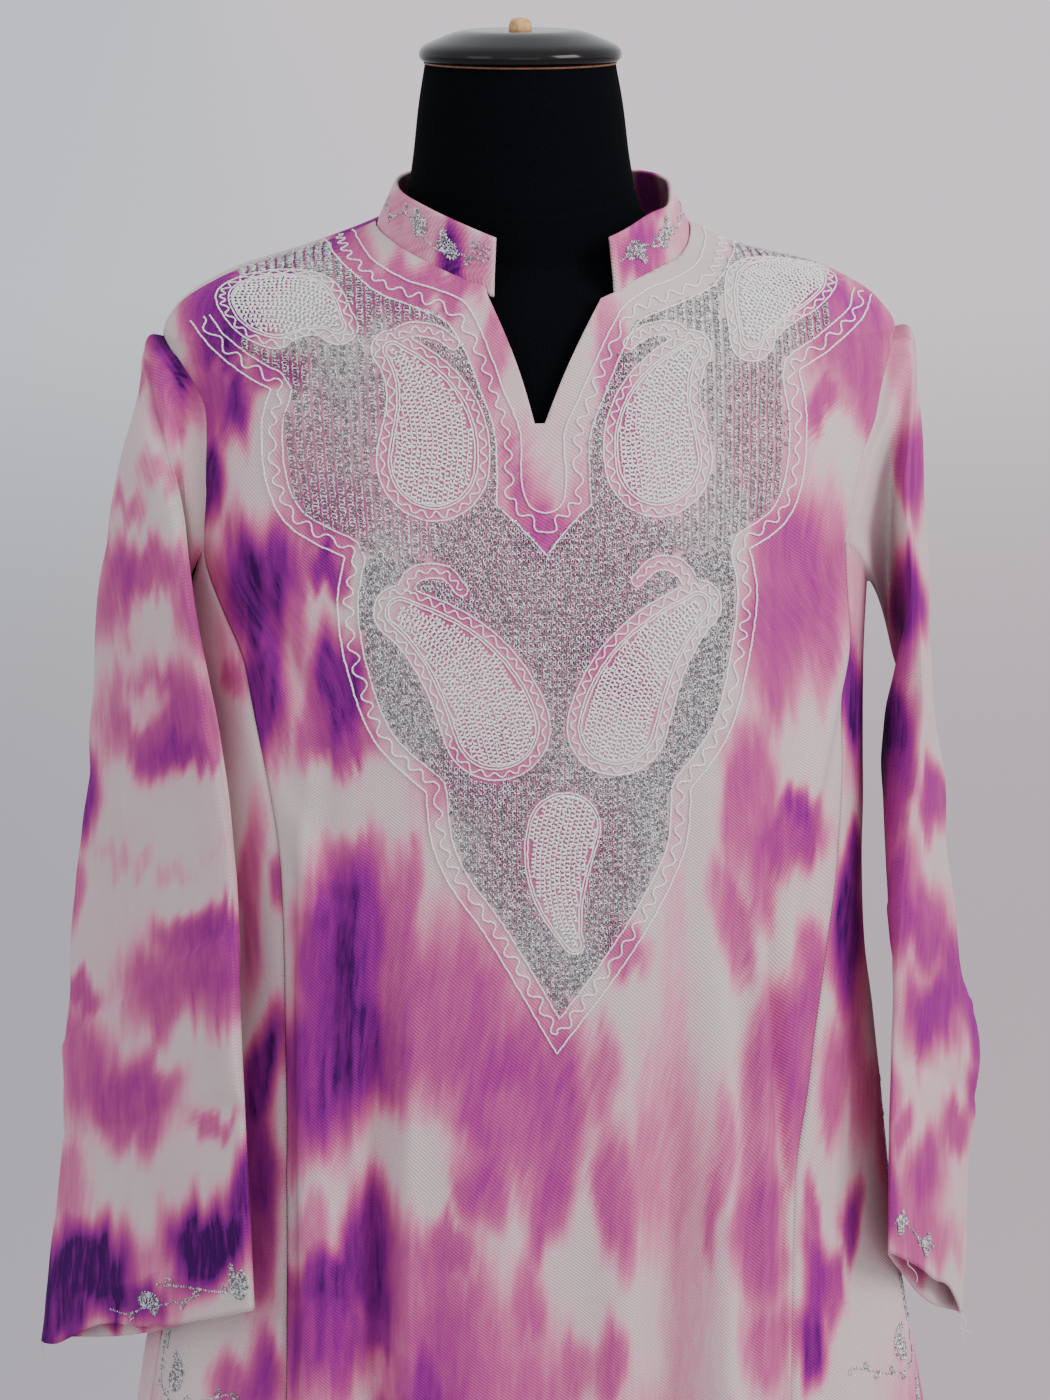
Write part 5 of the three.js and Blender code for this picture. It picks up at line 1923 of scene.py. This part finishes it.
@dataclass
class YokeWork:
    """The white and silver work on the front's yoke."""

    chart: FrontChart
    finishes: Finishes
    paisleys: tuple[Paisley, ...] = (
        Paisley((-76, 1342), (-57, 1285), 21.0, 3.2, 0.13, ((-77, 1345), (-67, 1353), (-54, 1352), (-45, 1346))),
        Paisley((79, 1340), (60, 1285), 21.0, 3.4, -0.13, ((80, 1343), (69, 1352), (56, 1351), (46, 1345))),
        Paisley((-75, 1210), (-27, 1151), 20.0, 6.2, 0.10, ((-76, 1214), (-68, 1229), (-53, 1231), (-44, 1222))),
        Paisley((79, 1210), (36, 1151), 19.0, 5.6, -0.10, ((79, 1214), (70, 1230), (57, 1233), (47, 1225))),
        Paisley((13, 1034), (8, 1097), 17.2, 3.4, 0.09, ringed=False),
        Paisley((-104, 1355), (-134, 1369), 21.0, 3.2, -0.12),
        Paisley((113, 1345), (135, 1383), 21.5, 5.0, 0.08),
    )
    left_edge: tuple[Place, ...] = (
        (-176, 1352), (-168, 1338), (-150, 1325), (-138, 1319), (-138, 1319), (-143, 1300), (-141, 1270),
        (-130, 1250), (-103, 1237), (-103, 1237), (-107, 1214), (-103, 1180), (-89, 1142), (-63, 1117),
        (-63, 1117), (-60, 1090), (-50, 1066), (-30, 1036), (4, 974),
    )
    right_edge: tuple[Place, ...] = (
        (184, 1372), (178, 1352), (160, 1336), (140, 1326), (140, 1326), (143, 1300), (139, 1268),
        (128, 1248), (108, 1237), (108, 1237), (112, 1214), (107, 1180), (96, 1142), (75, 1114),
        (75, 1114), (73, 1086), (62, 1060), (40, 1024), (4, 974),
    )
    neck_inner: tuple[Place, ...] = (
        (-91, 1446), (-84, 1402), (-70, 1383), (-52, 1375), (-38, 1367), (-29, 1348), (-20, 1322), (-12, 1300),
        (-12, 1278), (-9, 1265), (0, 1260), (9, 1265), (11, 1279), (11, 1300), (20, 1320), (33, 1346),
        (43, 1363), (56, 1373), (76, 1383), (90, 1402), (97, 1446),
    )
    neck_outer: tuple[Place, ...] = (
        (-104, 1444), (-99, 1402), (-86, 1377), (-66, 1366), (-49, 1358), (-40, 1344), (-32, 1322), (-25, 1298),
        (-25, 1264), (-25, 1264), (-12, 1252), (0, 1239), (0, 1239), (12, 1253), (24, 1264), (24, 1264),
        (24, 1296), (32, 1318), (43, 1342), (53, 1357), (72, 1365), (94, 1377), (106, 1400), (111, 1444),
    )
    middle_u: float = 3.5
    side_u: float = 60.0
    upper_v: float = 1238.0
    point_v: float = 1165.0
    above_v: float = 1500.0

    def border(self) -> tuple[Array, Array]:
        """Return the yoke's outer line and its inner one, each from the left shoulder round to the right."""
        outer = np.concatenate([smooth_path(self.left_edge, 0.9), smooth_path(self.right_edge, 0.9)[::-1]])
        return outer, beside(outer, 10.4, 0.9)

    def neck_area(self) -> Array:
        """Return the area inside the neck border, which holds no silver."""
        return np.concatenate([smooth_path(self.neck_outer, 1.0), [(111, self.above_v), (-104, self.above_v)]])

    def lines(self) -> list[Array]:
        """Return every white line.

        Returns:
            The lines.
        """
        outer, inner = self.border()
        neck_inner, neck_outer = smooth_path(self.neck_inner, 0.9), smooth_path(self.neck_outer, 0.9)
        found = [outer, inner, zigzag(beside(outer, 5.4, 0.9), 2.1, 11.5, 51), neck_inner, neck_outer]
        found.append(zigzag(beside(neck_outer, 6.2, 0.9), 2.1, 11.0, 52))
        neck = self.neck_area()
        for number, paisley in enumerate(self.paisleys):
            found += self._ring_lines(paisley, neck, number)
        return found

    def _ring_lines(self, paisley: Paisley, neck: Array, number: int) -> list[Array]:
        """Return one drop's edge, its inner line, its wavy line and its ring.

        Args:
            paisley: the drop.
            neck: the area inside the neck border.
            number: the drop's number.

        Returns:
            The lines.
        """
        found = [paisley.outline(0.2), paisley.outline(1.7)]
        if not paisley.ringed:
            return found
        ring, wave = paisley.ring(), zigzag(paisley.outline(4.7), 1.5, 7.6, 60 + number)
        if paisley.tail:
            tail, body = paisley.tail_outline(0), paisley.ring()
            found += runs(tail, ~inside(body, tail))
            tail_wave = zigzag(smooth_path(paisley.tail, 0.9), 1.3, 6.5, 80 + number)
            found += runs(tail_wave, ~inside(paisley.outline(4.9), tail_wave))
            found += runs(ring, ~inside(tail, ring) & ~inside(neck, ring))
        else:
            found += runs(ring, ~inside(neck, ring))
        found += runs(wave, ~inside(neck, wave))
        return found

    def silver_rows(self) -> tuple[list[Array], list[Array]]:
        """Return the courses of the silver loops: upright at the upper sides, and sagging across below.

        Returns:
            The upright courses and those across.
        """
        upright = []
        for side in (-1, 1):
            for u in np.arange(60, 150, 4.4):
                v = np.arange(1238, 1440, 2.0)
                bow = 0.10 * (u - 62) * np.sin((v - 1240) / 200 * np.pi)
                upright.append(np.stack([self.middle_u + side * (u + bow - 3), v], -1))
        across = []
        for v in np.arange(985, 1460, 3.25):
            u = np.arange(-150, 158, 2.0)
            across.append(np.stack([u, v + 0.0016 * (u - 3) ** 2 + 0.7 * np.sin(u / 8 + v / 60)], -1))
        return upright, across

    def build(self) -> list[Piece]:
        """Build the white lines, the white fills and the silver grounds.

        Returns:
            The finished pieces.
        """
        _, inner = self.border()
        yoke = np.concatenate([inner, [(184, self.above_v), (-176, self.above_v)]])
        neck = self.neck_area()
        shut = [paisley.outline(paisley.clearance + 0.9 if paisley.ringed else 2.6) for paisley in self.paisleys]
        shut += [paisley.tail_outline(0.8) for paisley in self.paisleys if paisley.tail]

        def free(middle: Array) -> Array:
            """Tell which loops are clear of the borders and the drops.

            Args:
                middle: the loops' places.

            Returns:
                Whether each is clear.
            """
            kept = inside(yoke, middle) & ~inside(neck, middle)
            for area in shut:
                kept &= ~inside(area, middle)
            near = np.linalg.norm(middle[:, None] - inner[None, ::3], axis=2).min(axis=1)
            return kept & (near > 1.3) & (middle[:, 1] < self.chart.ridge_at(middle[:, 0]) + 4)

        upper = lambda m: (np.abs(m[:, 0] - self.middle_u) > self.side_u) & (m[:, 1] > self.upper_v)
        upright, across = self.silver_rows()
        grounds = (
            ("silver_sides", upright, 1.75, (1.5, 1.6), 0.40, upper),
            ("silver_middle", across, 2.5, (1.45, 1.5), 0.45, lambda m: ~upper(m) & (m[:, 1] > self.point_v)),
            ("silver_point", across, 2.5, (1.45, 1.5), 0.45, lambda m: ~upper(m) & (m[:, 1] <= self.point_v)),
        )
        needle, pieces, count = Needle(self.chart), [], 0
        for seed, (name, rows, pitch, size, radius, part) in enumerate(grounds, 1):
            threads = Threads()
            keep = lambda m, part=part: free(m) & part(m)
            count += needle.loops(threads, rows, pitch, size, radius, 3, keep, seed)
            pieces.append(finished(threads.build(name), self.finishes.silver))
        LOG.info("silver loops: %d", count)
        count = 0
        for name, chosen in (("white_fill_upper", (0, 1, 5, 6)), ("white_fill_lower", (2, 3, 4))):
            threads = Threads()
            for index in chosen:
                rows = self.paisleys[index].rows(2.6)
                missed = Noise(70 + index)
                full = lambda m, missed=missed: missed.at(m[:, 0], m[:, 1], 2.2, 4.5) > -0.97
                count += needle.loops(threads, rows, 2.3, (0.80, 1.10), 0.54, 4, full, 10 + index)
            pieces.append(finished(threads.build(name), self.finishes.white))
        LOG.info("white loops: %d", count)
        threads = Threads()
        for number, line in enumerate(self.lines()):
            needle.chain(threads, line, 0.6, 100 + number)
        pieces.append(finished(threads.build("white_lines"), self.finishes.white))
        return pieces


@dataclass
class SmallWork:
    """The silver vines and small drops on the collar, the cuffs and beside the pocket."""

    body: WornBody
    collar: BandCollar
    sleeves: Sleeves
    finishes: Finishes
    threads: Threads = field(default_factory=Threads)

    def vine(self, chart: GridChart, course: Sequence[Place], seed: int, leaf: float = 0.0) -> None:
        """Lay a vine of small stitches, with pairs of leaves along it.

        Args:
            chart: the part of the cloth.
            course: points that it runs through.
            seed: which unevenness.
            leaf: distance between leaves, or 0 for none.
        """
        line = smooth_path(course, 0.5)
        needle = Needle(chart)
        needle.loops(self.threads, [line], 1.5, (0.6, 0.5), 0.26, 3, None, seed)
        if not leaf:
            return
        side, ahead = sideways(line), unit(np.gradient(line, axis=0))
        for number, index in enumerate(range(int(leaf), len(line) - 4, int(leaf * 2))):
            turn = 1 if number % 2 else -1
            start = line[index]
            tip = start + side[index] * turn * 4.2 + ahead[index] * 3.4
            bulge = side[index] * turn * 0.4 - ahead[index] * 1.4
            loop = smooth_path([start, (start + tip) / 2 - bulge, tip, (start + tip) / 2 + bulge, start], 0.5)
            needle.loops(self.threads, [loop], 1.2, (0.5, 0.4), 0.25, 3, None, seed + number)

    def drop(self, chart: GridChart, tip: Place, belly: Place, radius: float, bend: float, seed: int) -> None:
        """Lay a small filled drop.

        Args:
            chart: the part of the cloth.
            tip: where its point lies.
            belly: the middle of its round end.
            radius: the round end's radius.
            bend: how far it bends.
            seed: which unevenness.
        """
        shape = Paisley(tip, belly, radius, 1.0, bend)
        rows = shape.rows(1.55) + [shape.outline(0.4)]
        Needle(chart).loops(self.threads, rows, 1.7, (0.75, 0.7), 0.3, 3, None, seed)

    def collar_front(self, start: float, end: float) -> GridChart:
        """Return the collar's outside between two turns, from a front end round.

        Args:
            start: the turn where it starts.
            end: the turn where it ends.

        Returns:
            The flat chart.
        """
        turn = np.linspace(start, end, 90)[None, :]
        level = np.linspace(0, 1, 12)[:, None]
        points = self.collar.surface(turn + 0 * level, level + 0 * turn)
        return GridChart(points, float(lengths_along(points, 1)[5, -1]), 26.0)

    def cuff(self, side: int) -> GridChart:
        """Return the outer layer of a sleeve above its cuff: across from the fore crease, up from the edge.

        Args:
            side: -1 for the left, 1 for the right.

        Returns:
            The flat chart.
        """
        at = np.linspace(1, 0.84, 60)
        points = self.sleeves.surface(side, np.linspace(0.012, 0.488, 90), at)
        return GridChart(points, float(lengths_along(points, 1)[0, -1]), float(lengths_along(points, 0)[-1, 40]))

    def pocket(self, side: int) -> GridChart:
        """Return the front gore beside its pocket: across from the side seam, up from below the slit.

        Args:
            side: -1 for the left, 1 for the right.

        Returns:
            The flat chart.
        """
        z = np.linspace(700, 930, 90)[:, None]
        seam = self.body.side_seams.at("turn", z)
        turn = side * (seam - np.linspace(1.6, 26, 60)[None, :])
        points = self.body.point(turn, z + 0 * turn)
        return GridChart(points, float(lengths_along(points, 1)[20, -1]), 230.0)

    def loose_threads(self) -> Piece:
        """Hang a few frayed threads from the cuffs.

        Returns:
            The finished threads.
        """
        threads = Threads()
        random = np.random.default_rng(61)
        along = np.linspace(0, 1, 26)[:, None]
        for side, share in ((-1, 0.47), (-1, 0.46), (-1, 0.45), (-1, 0.485), (1, 0.46), (1, 0.44), (1, 0.10)):
            start = self.sleeves.surface(side, np.array([share]), np.array([1.0]))[0, 0]
            swing = random.normal((side * 2, 0, 0), (4, 2, 1)) * along**1.5
            beat = along * random.uniform(5, 10) + share * 90
            curl = 1.8 * along * np.concatenate([np.sin(beat), 0 * beat, np.cos(beat)], axis=1)
            path = start + (0, 0, 0.6) - along * (0, 0, random.uniform(9, 22)) + swing + curl
            threads.add(path[None], np.broadcast_to((0.0, -1.0, 0.0), path.shape)[None], 0.17, 3)
        return finished(threads.build("loose_threads"), self.finishes.white)

    def build(self) -> Piece:
        """Build all of it as one piece.

        Returns:
            The finished piece.
        """
        left = self.collar_front(340.3, 262)
        self.vine(left, ((4, 13), (18, 11), (34, 9), (48, 14), (62, 18), (76, 12), (90, 14), (104, 12)), 1, 17)
        self.drop(left, (30, 18), (24, 11), 3.4, 0.2, 2)
        self.drop(left, (52, 22), (46, 16), 4.0, 0.2, 3)
        for rise in (15, 17.4, 19.8):
            self.vine(left, ((3, rise), (8, rise + 0.4), (13, rise)), 5)
        right = self.collar_front(25.2, 100)
        self.vine(right, ((4, 12), (18, 15), (32, 10), (46, 15), (60, 12), (76, 14), (94, 12)), 11, 17)
        self.drop(right, (20, 7), (13, 14), 3.8, -0.2, 12)
        self.drop(right, (44, 20), (38, 12), 3.8, 0.2, 13)
        cuff = self.cuff(-1)
        self.vine(cuff, ((4, 13), (14, 12), (30, 12), (44, 15), (62, 20), (78, 24)), 21, 19)
        self.drop(cuff, (27, 25), (16, 15), 6.6, 0.3, 22)
        self.vine(cuff, ((52, 14), (66, 12), (84, 12), (98, 7), (108, 10)), 24, 17)
        self.drop(cuff, (80, 8), (85, 16), 4.0, 0.2, 25)
        cuff = self.cuff(1)
        self.vine(cuff, ((6, 18), (20, 22), (40, 20), (60, 16), (80, 18)), 31, 19)
        self.drop(cuff, (28, 26), (22, 18), 5.0, 0.25, 32)
        self.drop(cuff, (70, 22), (64, 14), 4.4, 0.2, 33)
        for side in (-1, 1):
            pocket = self.pocket(side)
            course = ((6, 222), (7, 180), (6, 140), (8, 100), (7, 66), (14, 52), (30, 50), (48, 56), (66, 64))
            self.vine(pocket, course, 41, 10)
            self.vine(pocket, ((12, 150), (13, 110), (12, 76)), 43)
            self.drop(pocket, (22, 76), (26, 62), 5.2, 0.2, 44)
            self.drop(pocket, (10, 40), (12, 30), 5.0, -0.2, 45)
        return finished(self.threads.build("silver_vines"), self.finishes.silver)


# The dress form and its stand


@dataclass
class DressForm:
    """The limbless form: a jersey-covered torso and neck, a lacquered cap with a wooden knob, and the stand."""

    finishes: Finishes
    neck_x: float = -2.5
    sides: int = 96
    blank_radius: float = 100.0
    neck_seam_z: float = 1408.0
    rings: Table = Table(
        "z left right front back power",
        (690, 118, 118, 68, 72, 2.2), (700, 140, 140, 84, 92, 2.2), (730, 156, 156, 94, 104, 2.2),
        (820, 163, 163, 100, 106, 2.2), (910, 150, 150, 97, 98, 2.2), (1000, 122, 122, 92, 84, 2.15),
        (1080, 136, 136, 106, 90, 2.15), (1150, 152, 152, 119, 98, 2.15), (1230, 162, 164, 109, 100, 2.1),
        (1300, 163, 172, 92, 97, 1.9), (1336, 160, 178, 82, 90, 1.75), (1351, 156, 172, 78, 88, 1.65),
        (1367.2, 140, 154, 70, 82, 1.6), (1381.4, 108, 106, 60, 72, 1.65), (1393, 76, 75, 60, 68, 1.85),
        (1406, 64.5, 61.5, 60, 64, 2), (1430, 60, 56, 58, 60, 2), (1460, 56.5, 52, 55, 56, 2),
        (1481.5, 53, 48, 50.5, 50.5, 2),
    )

    def torso(self) -> Piece:
        """Build the torso with its neck, from a cylinder whose rings are drawn to the form's sizes.

        Returns:
            The finished torso.
        """
        spans = ((690, 1290, 56), (1297, 1400, 48), (1402, 1481.5, 40))
        profile = [(self.blank_radius, float(height)) for span in spans for height in np.linspace(*span)]
        piece = self.turned("form_body", profile, 0, self.finishes.jersey, "form_torso")
        places = np.empty(3 * len(piece.data.vertices))
        piece.data.vertices.foreach_get("co", places)
        x, y, z = (places.reshape(-1, 3) / METRE).T
        reach = np.hypot(x, y) / self.blank_radius
        turn = np.degrees(np.arctan2(x, -y))
        across, ahead = np.sin(np.radians(turn)), np.cos(np.radians(turn))
        half = self.rings.pick(across < 0, "left", "right", z)
        depth = self.rings.pick(ahead > 0, "front", "back", z)
        power = self.rings.at("power", z)
        neck_seam = 0.7 * hump(z - self.neck_seam_z - 9 * np.abs(across) ** 2, 1.1)
        groove = neck_seam + 0.5 * hump(np.abs(turn) - 90, 0.9) * (z < 1400)
        scale = reach * (1 - groove / half)
        shaped_x = half * np.sign(across) * np.abs(across) ** (2 / power) * scale
        shaped_y = -depth * np.sign(ahead) * np.abs(ahead) ** (2 / power) * scale
        piece.data.vertices.foreach_set("co", (np.stack([shaped_x, shaped_y, z], -1) * METRE).ravel())
        piece.data.update()
        return piece

    def turned(
        self, name: str, profile: Sequence[Place], centre_x: float, material: Material, node: str = ""
    ) -> Piece:
        """Turn a piece from its profile, by drawing a circle's edge up the profile.

        Args:
            name: the piece's name.
            profile: radii and heights, from the bottom to the top.
            centre_x: where the upright stands.
            material: the finish.
            node: the solid that it stands for, if any.

        Returns:
            The piece.
        """
        bpy.ops.object.select_all(action="DESELECT")
        foot, start = profile[0][0] * METRE, (centre_x * METRE, 0, profile[0][1] * METRE)
        bpy.ops.mesh.primitive_circle_add(vertices=self.sides, radius=foot, location=start, fill_type="TRIFAN")
        piece = bpy.context.object
        piece.name = name
        bpy.ops.object.transform_apply(location=True, rotation=True, scale=True)
        bpy.ops.object.mode_set(mode="EDIT")
        bpy.ops.mesh.select_all(action="SELECT")
        bpy.ops.mesh.flip_normals()
        bpy.ops.mesh.select_all(action="DESELECT")
        bpy.ops.mesh.select_mode(type="EDGE")
        bpy.ops.mesh.select_non_manifold(extend=False)
        for (radius, z), (next_radius, next_z) in zip(profile, profile[1:]):
            bpy.ops.mesh.extrude_edges_move(TRANSFORM_OT_translate={"value": (0, 0, (next_z - z) * METRE)})
            share = next_radius / radius
            if share != 1:
                centre = (centre_x * METRE, 0, next_z * METRE)
                bpy.ops.transform.resize(value=(share, share, 1), center_override=centre)
        bpy.ops.mesh.fill()
        bpy.ops.mesh.select_all(action="SELECT")
        bpy.ops.mesh.normals_make_consistent(inside=False)
        bpy.ops.object.mode_set(mode="OBJECT")
        bpy.ops.object.shade_smooth_by_angle(angle=math.radians(40))
        return finished(piece, material, node)

    def build(self) -> list[Piece]:
        """Build the form and its stand.

        Returns:
            The finished pieces.
        """
        body = self.torso()
        cap = self.turned(
            "neck_cap",
            (
                (49.6, 1482.2), (52.2, 1482.8), (53.4, 1484.2), (53.8, 1486.4), (53.2, 1488.6), (51.2, 1490.6),
                (47.4, 1492.5), (43.2, 1494.2), (39, 1495.9), (35, 1497.3), (31.2, 1498.2), (28, 1498.5),
            ),
            self.neck_x, self.finishes.lacquer, "form_neck_cap",
        )
        ring = self.turned(
            "neck_ring", ((50.3, 1480.9), (51.2, 1481.2), (51.2, 1482.0), (50.3, 1482.3)),
            self.neck_x, self.finishes.ring,
        )
        knob = self.turned(
            "cap_knob",
            ((6.0, 1498.5), (6.2, 1500.2), (5.9, 1501.8), (5.4, 1503.0), (4.4, 1504.2), (2.6, 1504.8)),
            self.neck_x, self.finishes.wood, "form_finial",
        )
        pole = self.turned("pole", ((15, 33.6), (15, 690)), 0, self.finishes.stand, "stand_pole")
        foot = self.turned(
            "foot",
            (
                (177, 0), (180, 3), (180, 14), (178.2, 18.5), (174, 21.4), (169, 22), (36, 22), (33, 23.5), (29, 32),
                (27, 34),
            ),
            0, self.finishes.stand, "stand_base",
        )
        return [body, cap, ring, knob, pole, foot]


# The room


@dataclass
class Studio:
    """A wide pale floor, soft lights, and the camera at the photograph's angle."""

    view: FrontView = VIEW
    floor_size: float = 120.0

    def camera(self) -> None:
        """Add the camera."""
        data = bpy.data.cameras.new("camera")
        data.sensor_fit = "VERTICAL"
        data.sensor_height = 36.0
        data.sensor_width = 27.0
        data.lens = 36.0 * self.view.reach / 1400.0
        data.clip_end = 300.0
        camera = bpy.data.objects.new("camera", data)
        bpy.context.scene.collection.objects.link(camera)
        camera.location = Vector(self.view.eye()) * METRE
        camera.rotation_euler = (math.radians(90 - self.view.pitch), 0, -math.radians(self.view.yaw))
        bpy.context.scene.camera = camera

    def light(self, name: str, place: tuple[float, float, float], aim: tuple[float, float, float], size: float,
              power: float, colour: tuple[float, float, float]) -> None:
        """Add a soft square light.

        Args:
            name: the light's name.
            place: where it hangs, in metres.
            aim: what it points at.
            size: its side.
            power: watts.
            colour: its colour.
        """
        data = bpy.data.lights.new(name, "AREA")
        data.shape = "SQUARE"
        data.size = size
        data.energy = power
        data.color = colour
        light = bpy.data.objects.new(name, data)
        bpy.context.scene.collection.objects.link(light)
        light.location = place
        light.rotation_euler = (Vector(aim) - Vector(place)).to_track_quat("-Z", "Y").to_euler()

    @staticmethod
    def paint(name: str) -> Material:
        """Return a pale paint with painted light: cooler at the left and warmer at the right, and brighter far off,
        where the lamps don't reach, than near the object.

        Args:
            name: the paint's name.

        Returns:
            The material.
        """
        shading = Shading(name)
        place = shading.node("TexCoord", {}).outputs["Object"]
        parts = shading.node("SeparateXYZ", {"Vector": place})
        mixes = []
        # Painted light: a swing from cool to warm across X, and from dark to bright away from the object along Y.
        for axis, low, high, start, end in (
            ("X", linear(0.88, 0.905, 0.93), linear(0.99, 0.95, 0.965), -1.0, 1.0),
            ("Y", linear(0.78, 0.75, 0.765), linear(1.0, 1.0, 1.0), 2.2, 11.0),
        ):
            span = {"From Min": start, "From Max": end, "Value": parts.outputs[axis]}
            reach = shading.node("MapRange", span, interpolation_type="SMOOTHSTEP")
            colours = {"A": low, "B": high, "Factor": reach.outputs[0]}
            mixes.append(shading.node("Mix", colours, data_type="RGBA").outputs["Result"])
        both = shading.node(
            "Mix", {"Factor": 1.0, "A": mixes[0], "B": mixes[1]}, data_type="RGBA", blend_type="MULTIPLY"
        )
        shading.wire(shading.shader, {"Base Color": both.outputs["Result"], "Roughness": 0.95})
        return shading.material

    def build(self) -> None:
        """Add the floor, the lights and the camera."""
        bpy.ops.object.select_all(action="DESELECT")
        bpy.ops.mesh.primitive_plane_add(size=self.floor_size)
        floor = bpy.context.object
        floor.name = "floor"
        floor.data.materials.append(self.paint("floor_painted_light"))
        floor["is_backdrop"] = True
        world = bpy.data.worlds.new("room")
        world.use_nodes = True
        world.node_tree.nodes["Background"].inputs["Color"].default_value = (0.85, 0.86, 0.88, 1)
        world.node_tree.nodes["Background"].inputs["Strength"].default_value = 1.14
        bpy.context.scene.world = world
        self.light("key", (1.9, -1.5, 2.6), (0, 0, 1.05), 1.3, 54.0, (1.0, 0.97, 0.95))
        self.light("fill", (-2.2, -1.6, 2.3), (0, 0, 1.0), 1.4, 8.0, (0.93, 0.96, 1.0))
        self.light("front", (0.0, -2.8, 1.9), (0, 0, 1.1), 1.6, 5.0, (1.0, 0.99, 0.98))
        self.camera()


def main() -> None:
    """Build every piece and report it."""
    logging.basicConfig(level=logging.INFO, format="%(message)s")
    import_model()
    cad_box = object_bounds()
    Studio().build()
    finishes = Finishes()
    body = WornBody()
    neck = NeckCut()
    panels = CentrePanels(body, neck, finishes)
    pieces = [panels.build(Face.FRONT), panels.build(Face.BACK)]
    gores = SideGores(body, finishes)
    pieces += [gores.build(side, face) for side in (-1, 1) for face in Face]
    sleeves = Sleeves(body, finishes)
    pieces += [sleeves.build(-1), sleeves.build(1)]
    collar = BandCollar(body, neck, finishes)
    pieces.append(collar.build())
    pieces += YokeWork(FrontChart(body), finishes).build()
    small_work = SmallWork(body, collar, sleeves, finishes)
    pieces += [small_work.build(), small_work.loose_threads()]
    pieces += DressForm(finishes).build()
    total = 0
    for piece in pieces:
        triangles = sum(len(polygon.vertices) - 2 for polygon in piece.data.polygons)
        total += triangles
        LOG.info("%s: %d triangles", piece.name, triangles)
    LOG.info("all pieces: %d triangles", total)
    own_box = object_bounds()
    {"cad": [list(corner) for corner in cad_box], "visual": [list(corner) for corner in own_box]}


if __name__ == "__main__":
    main()
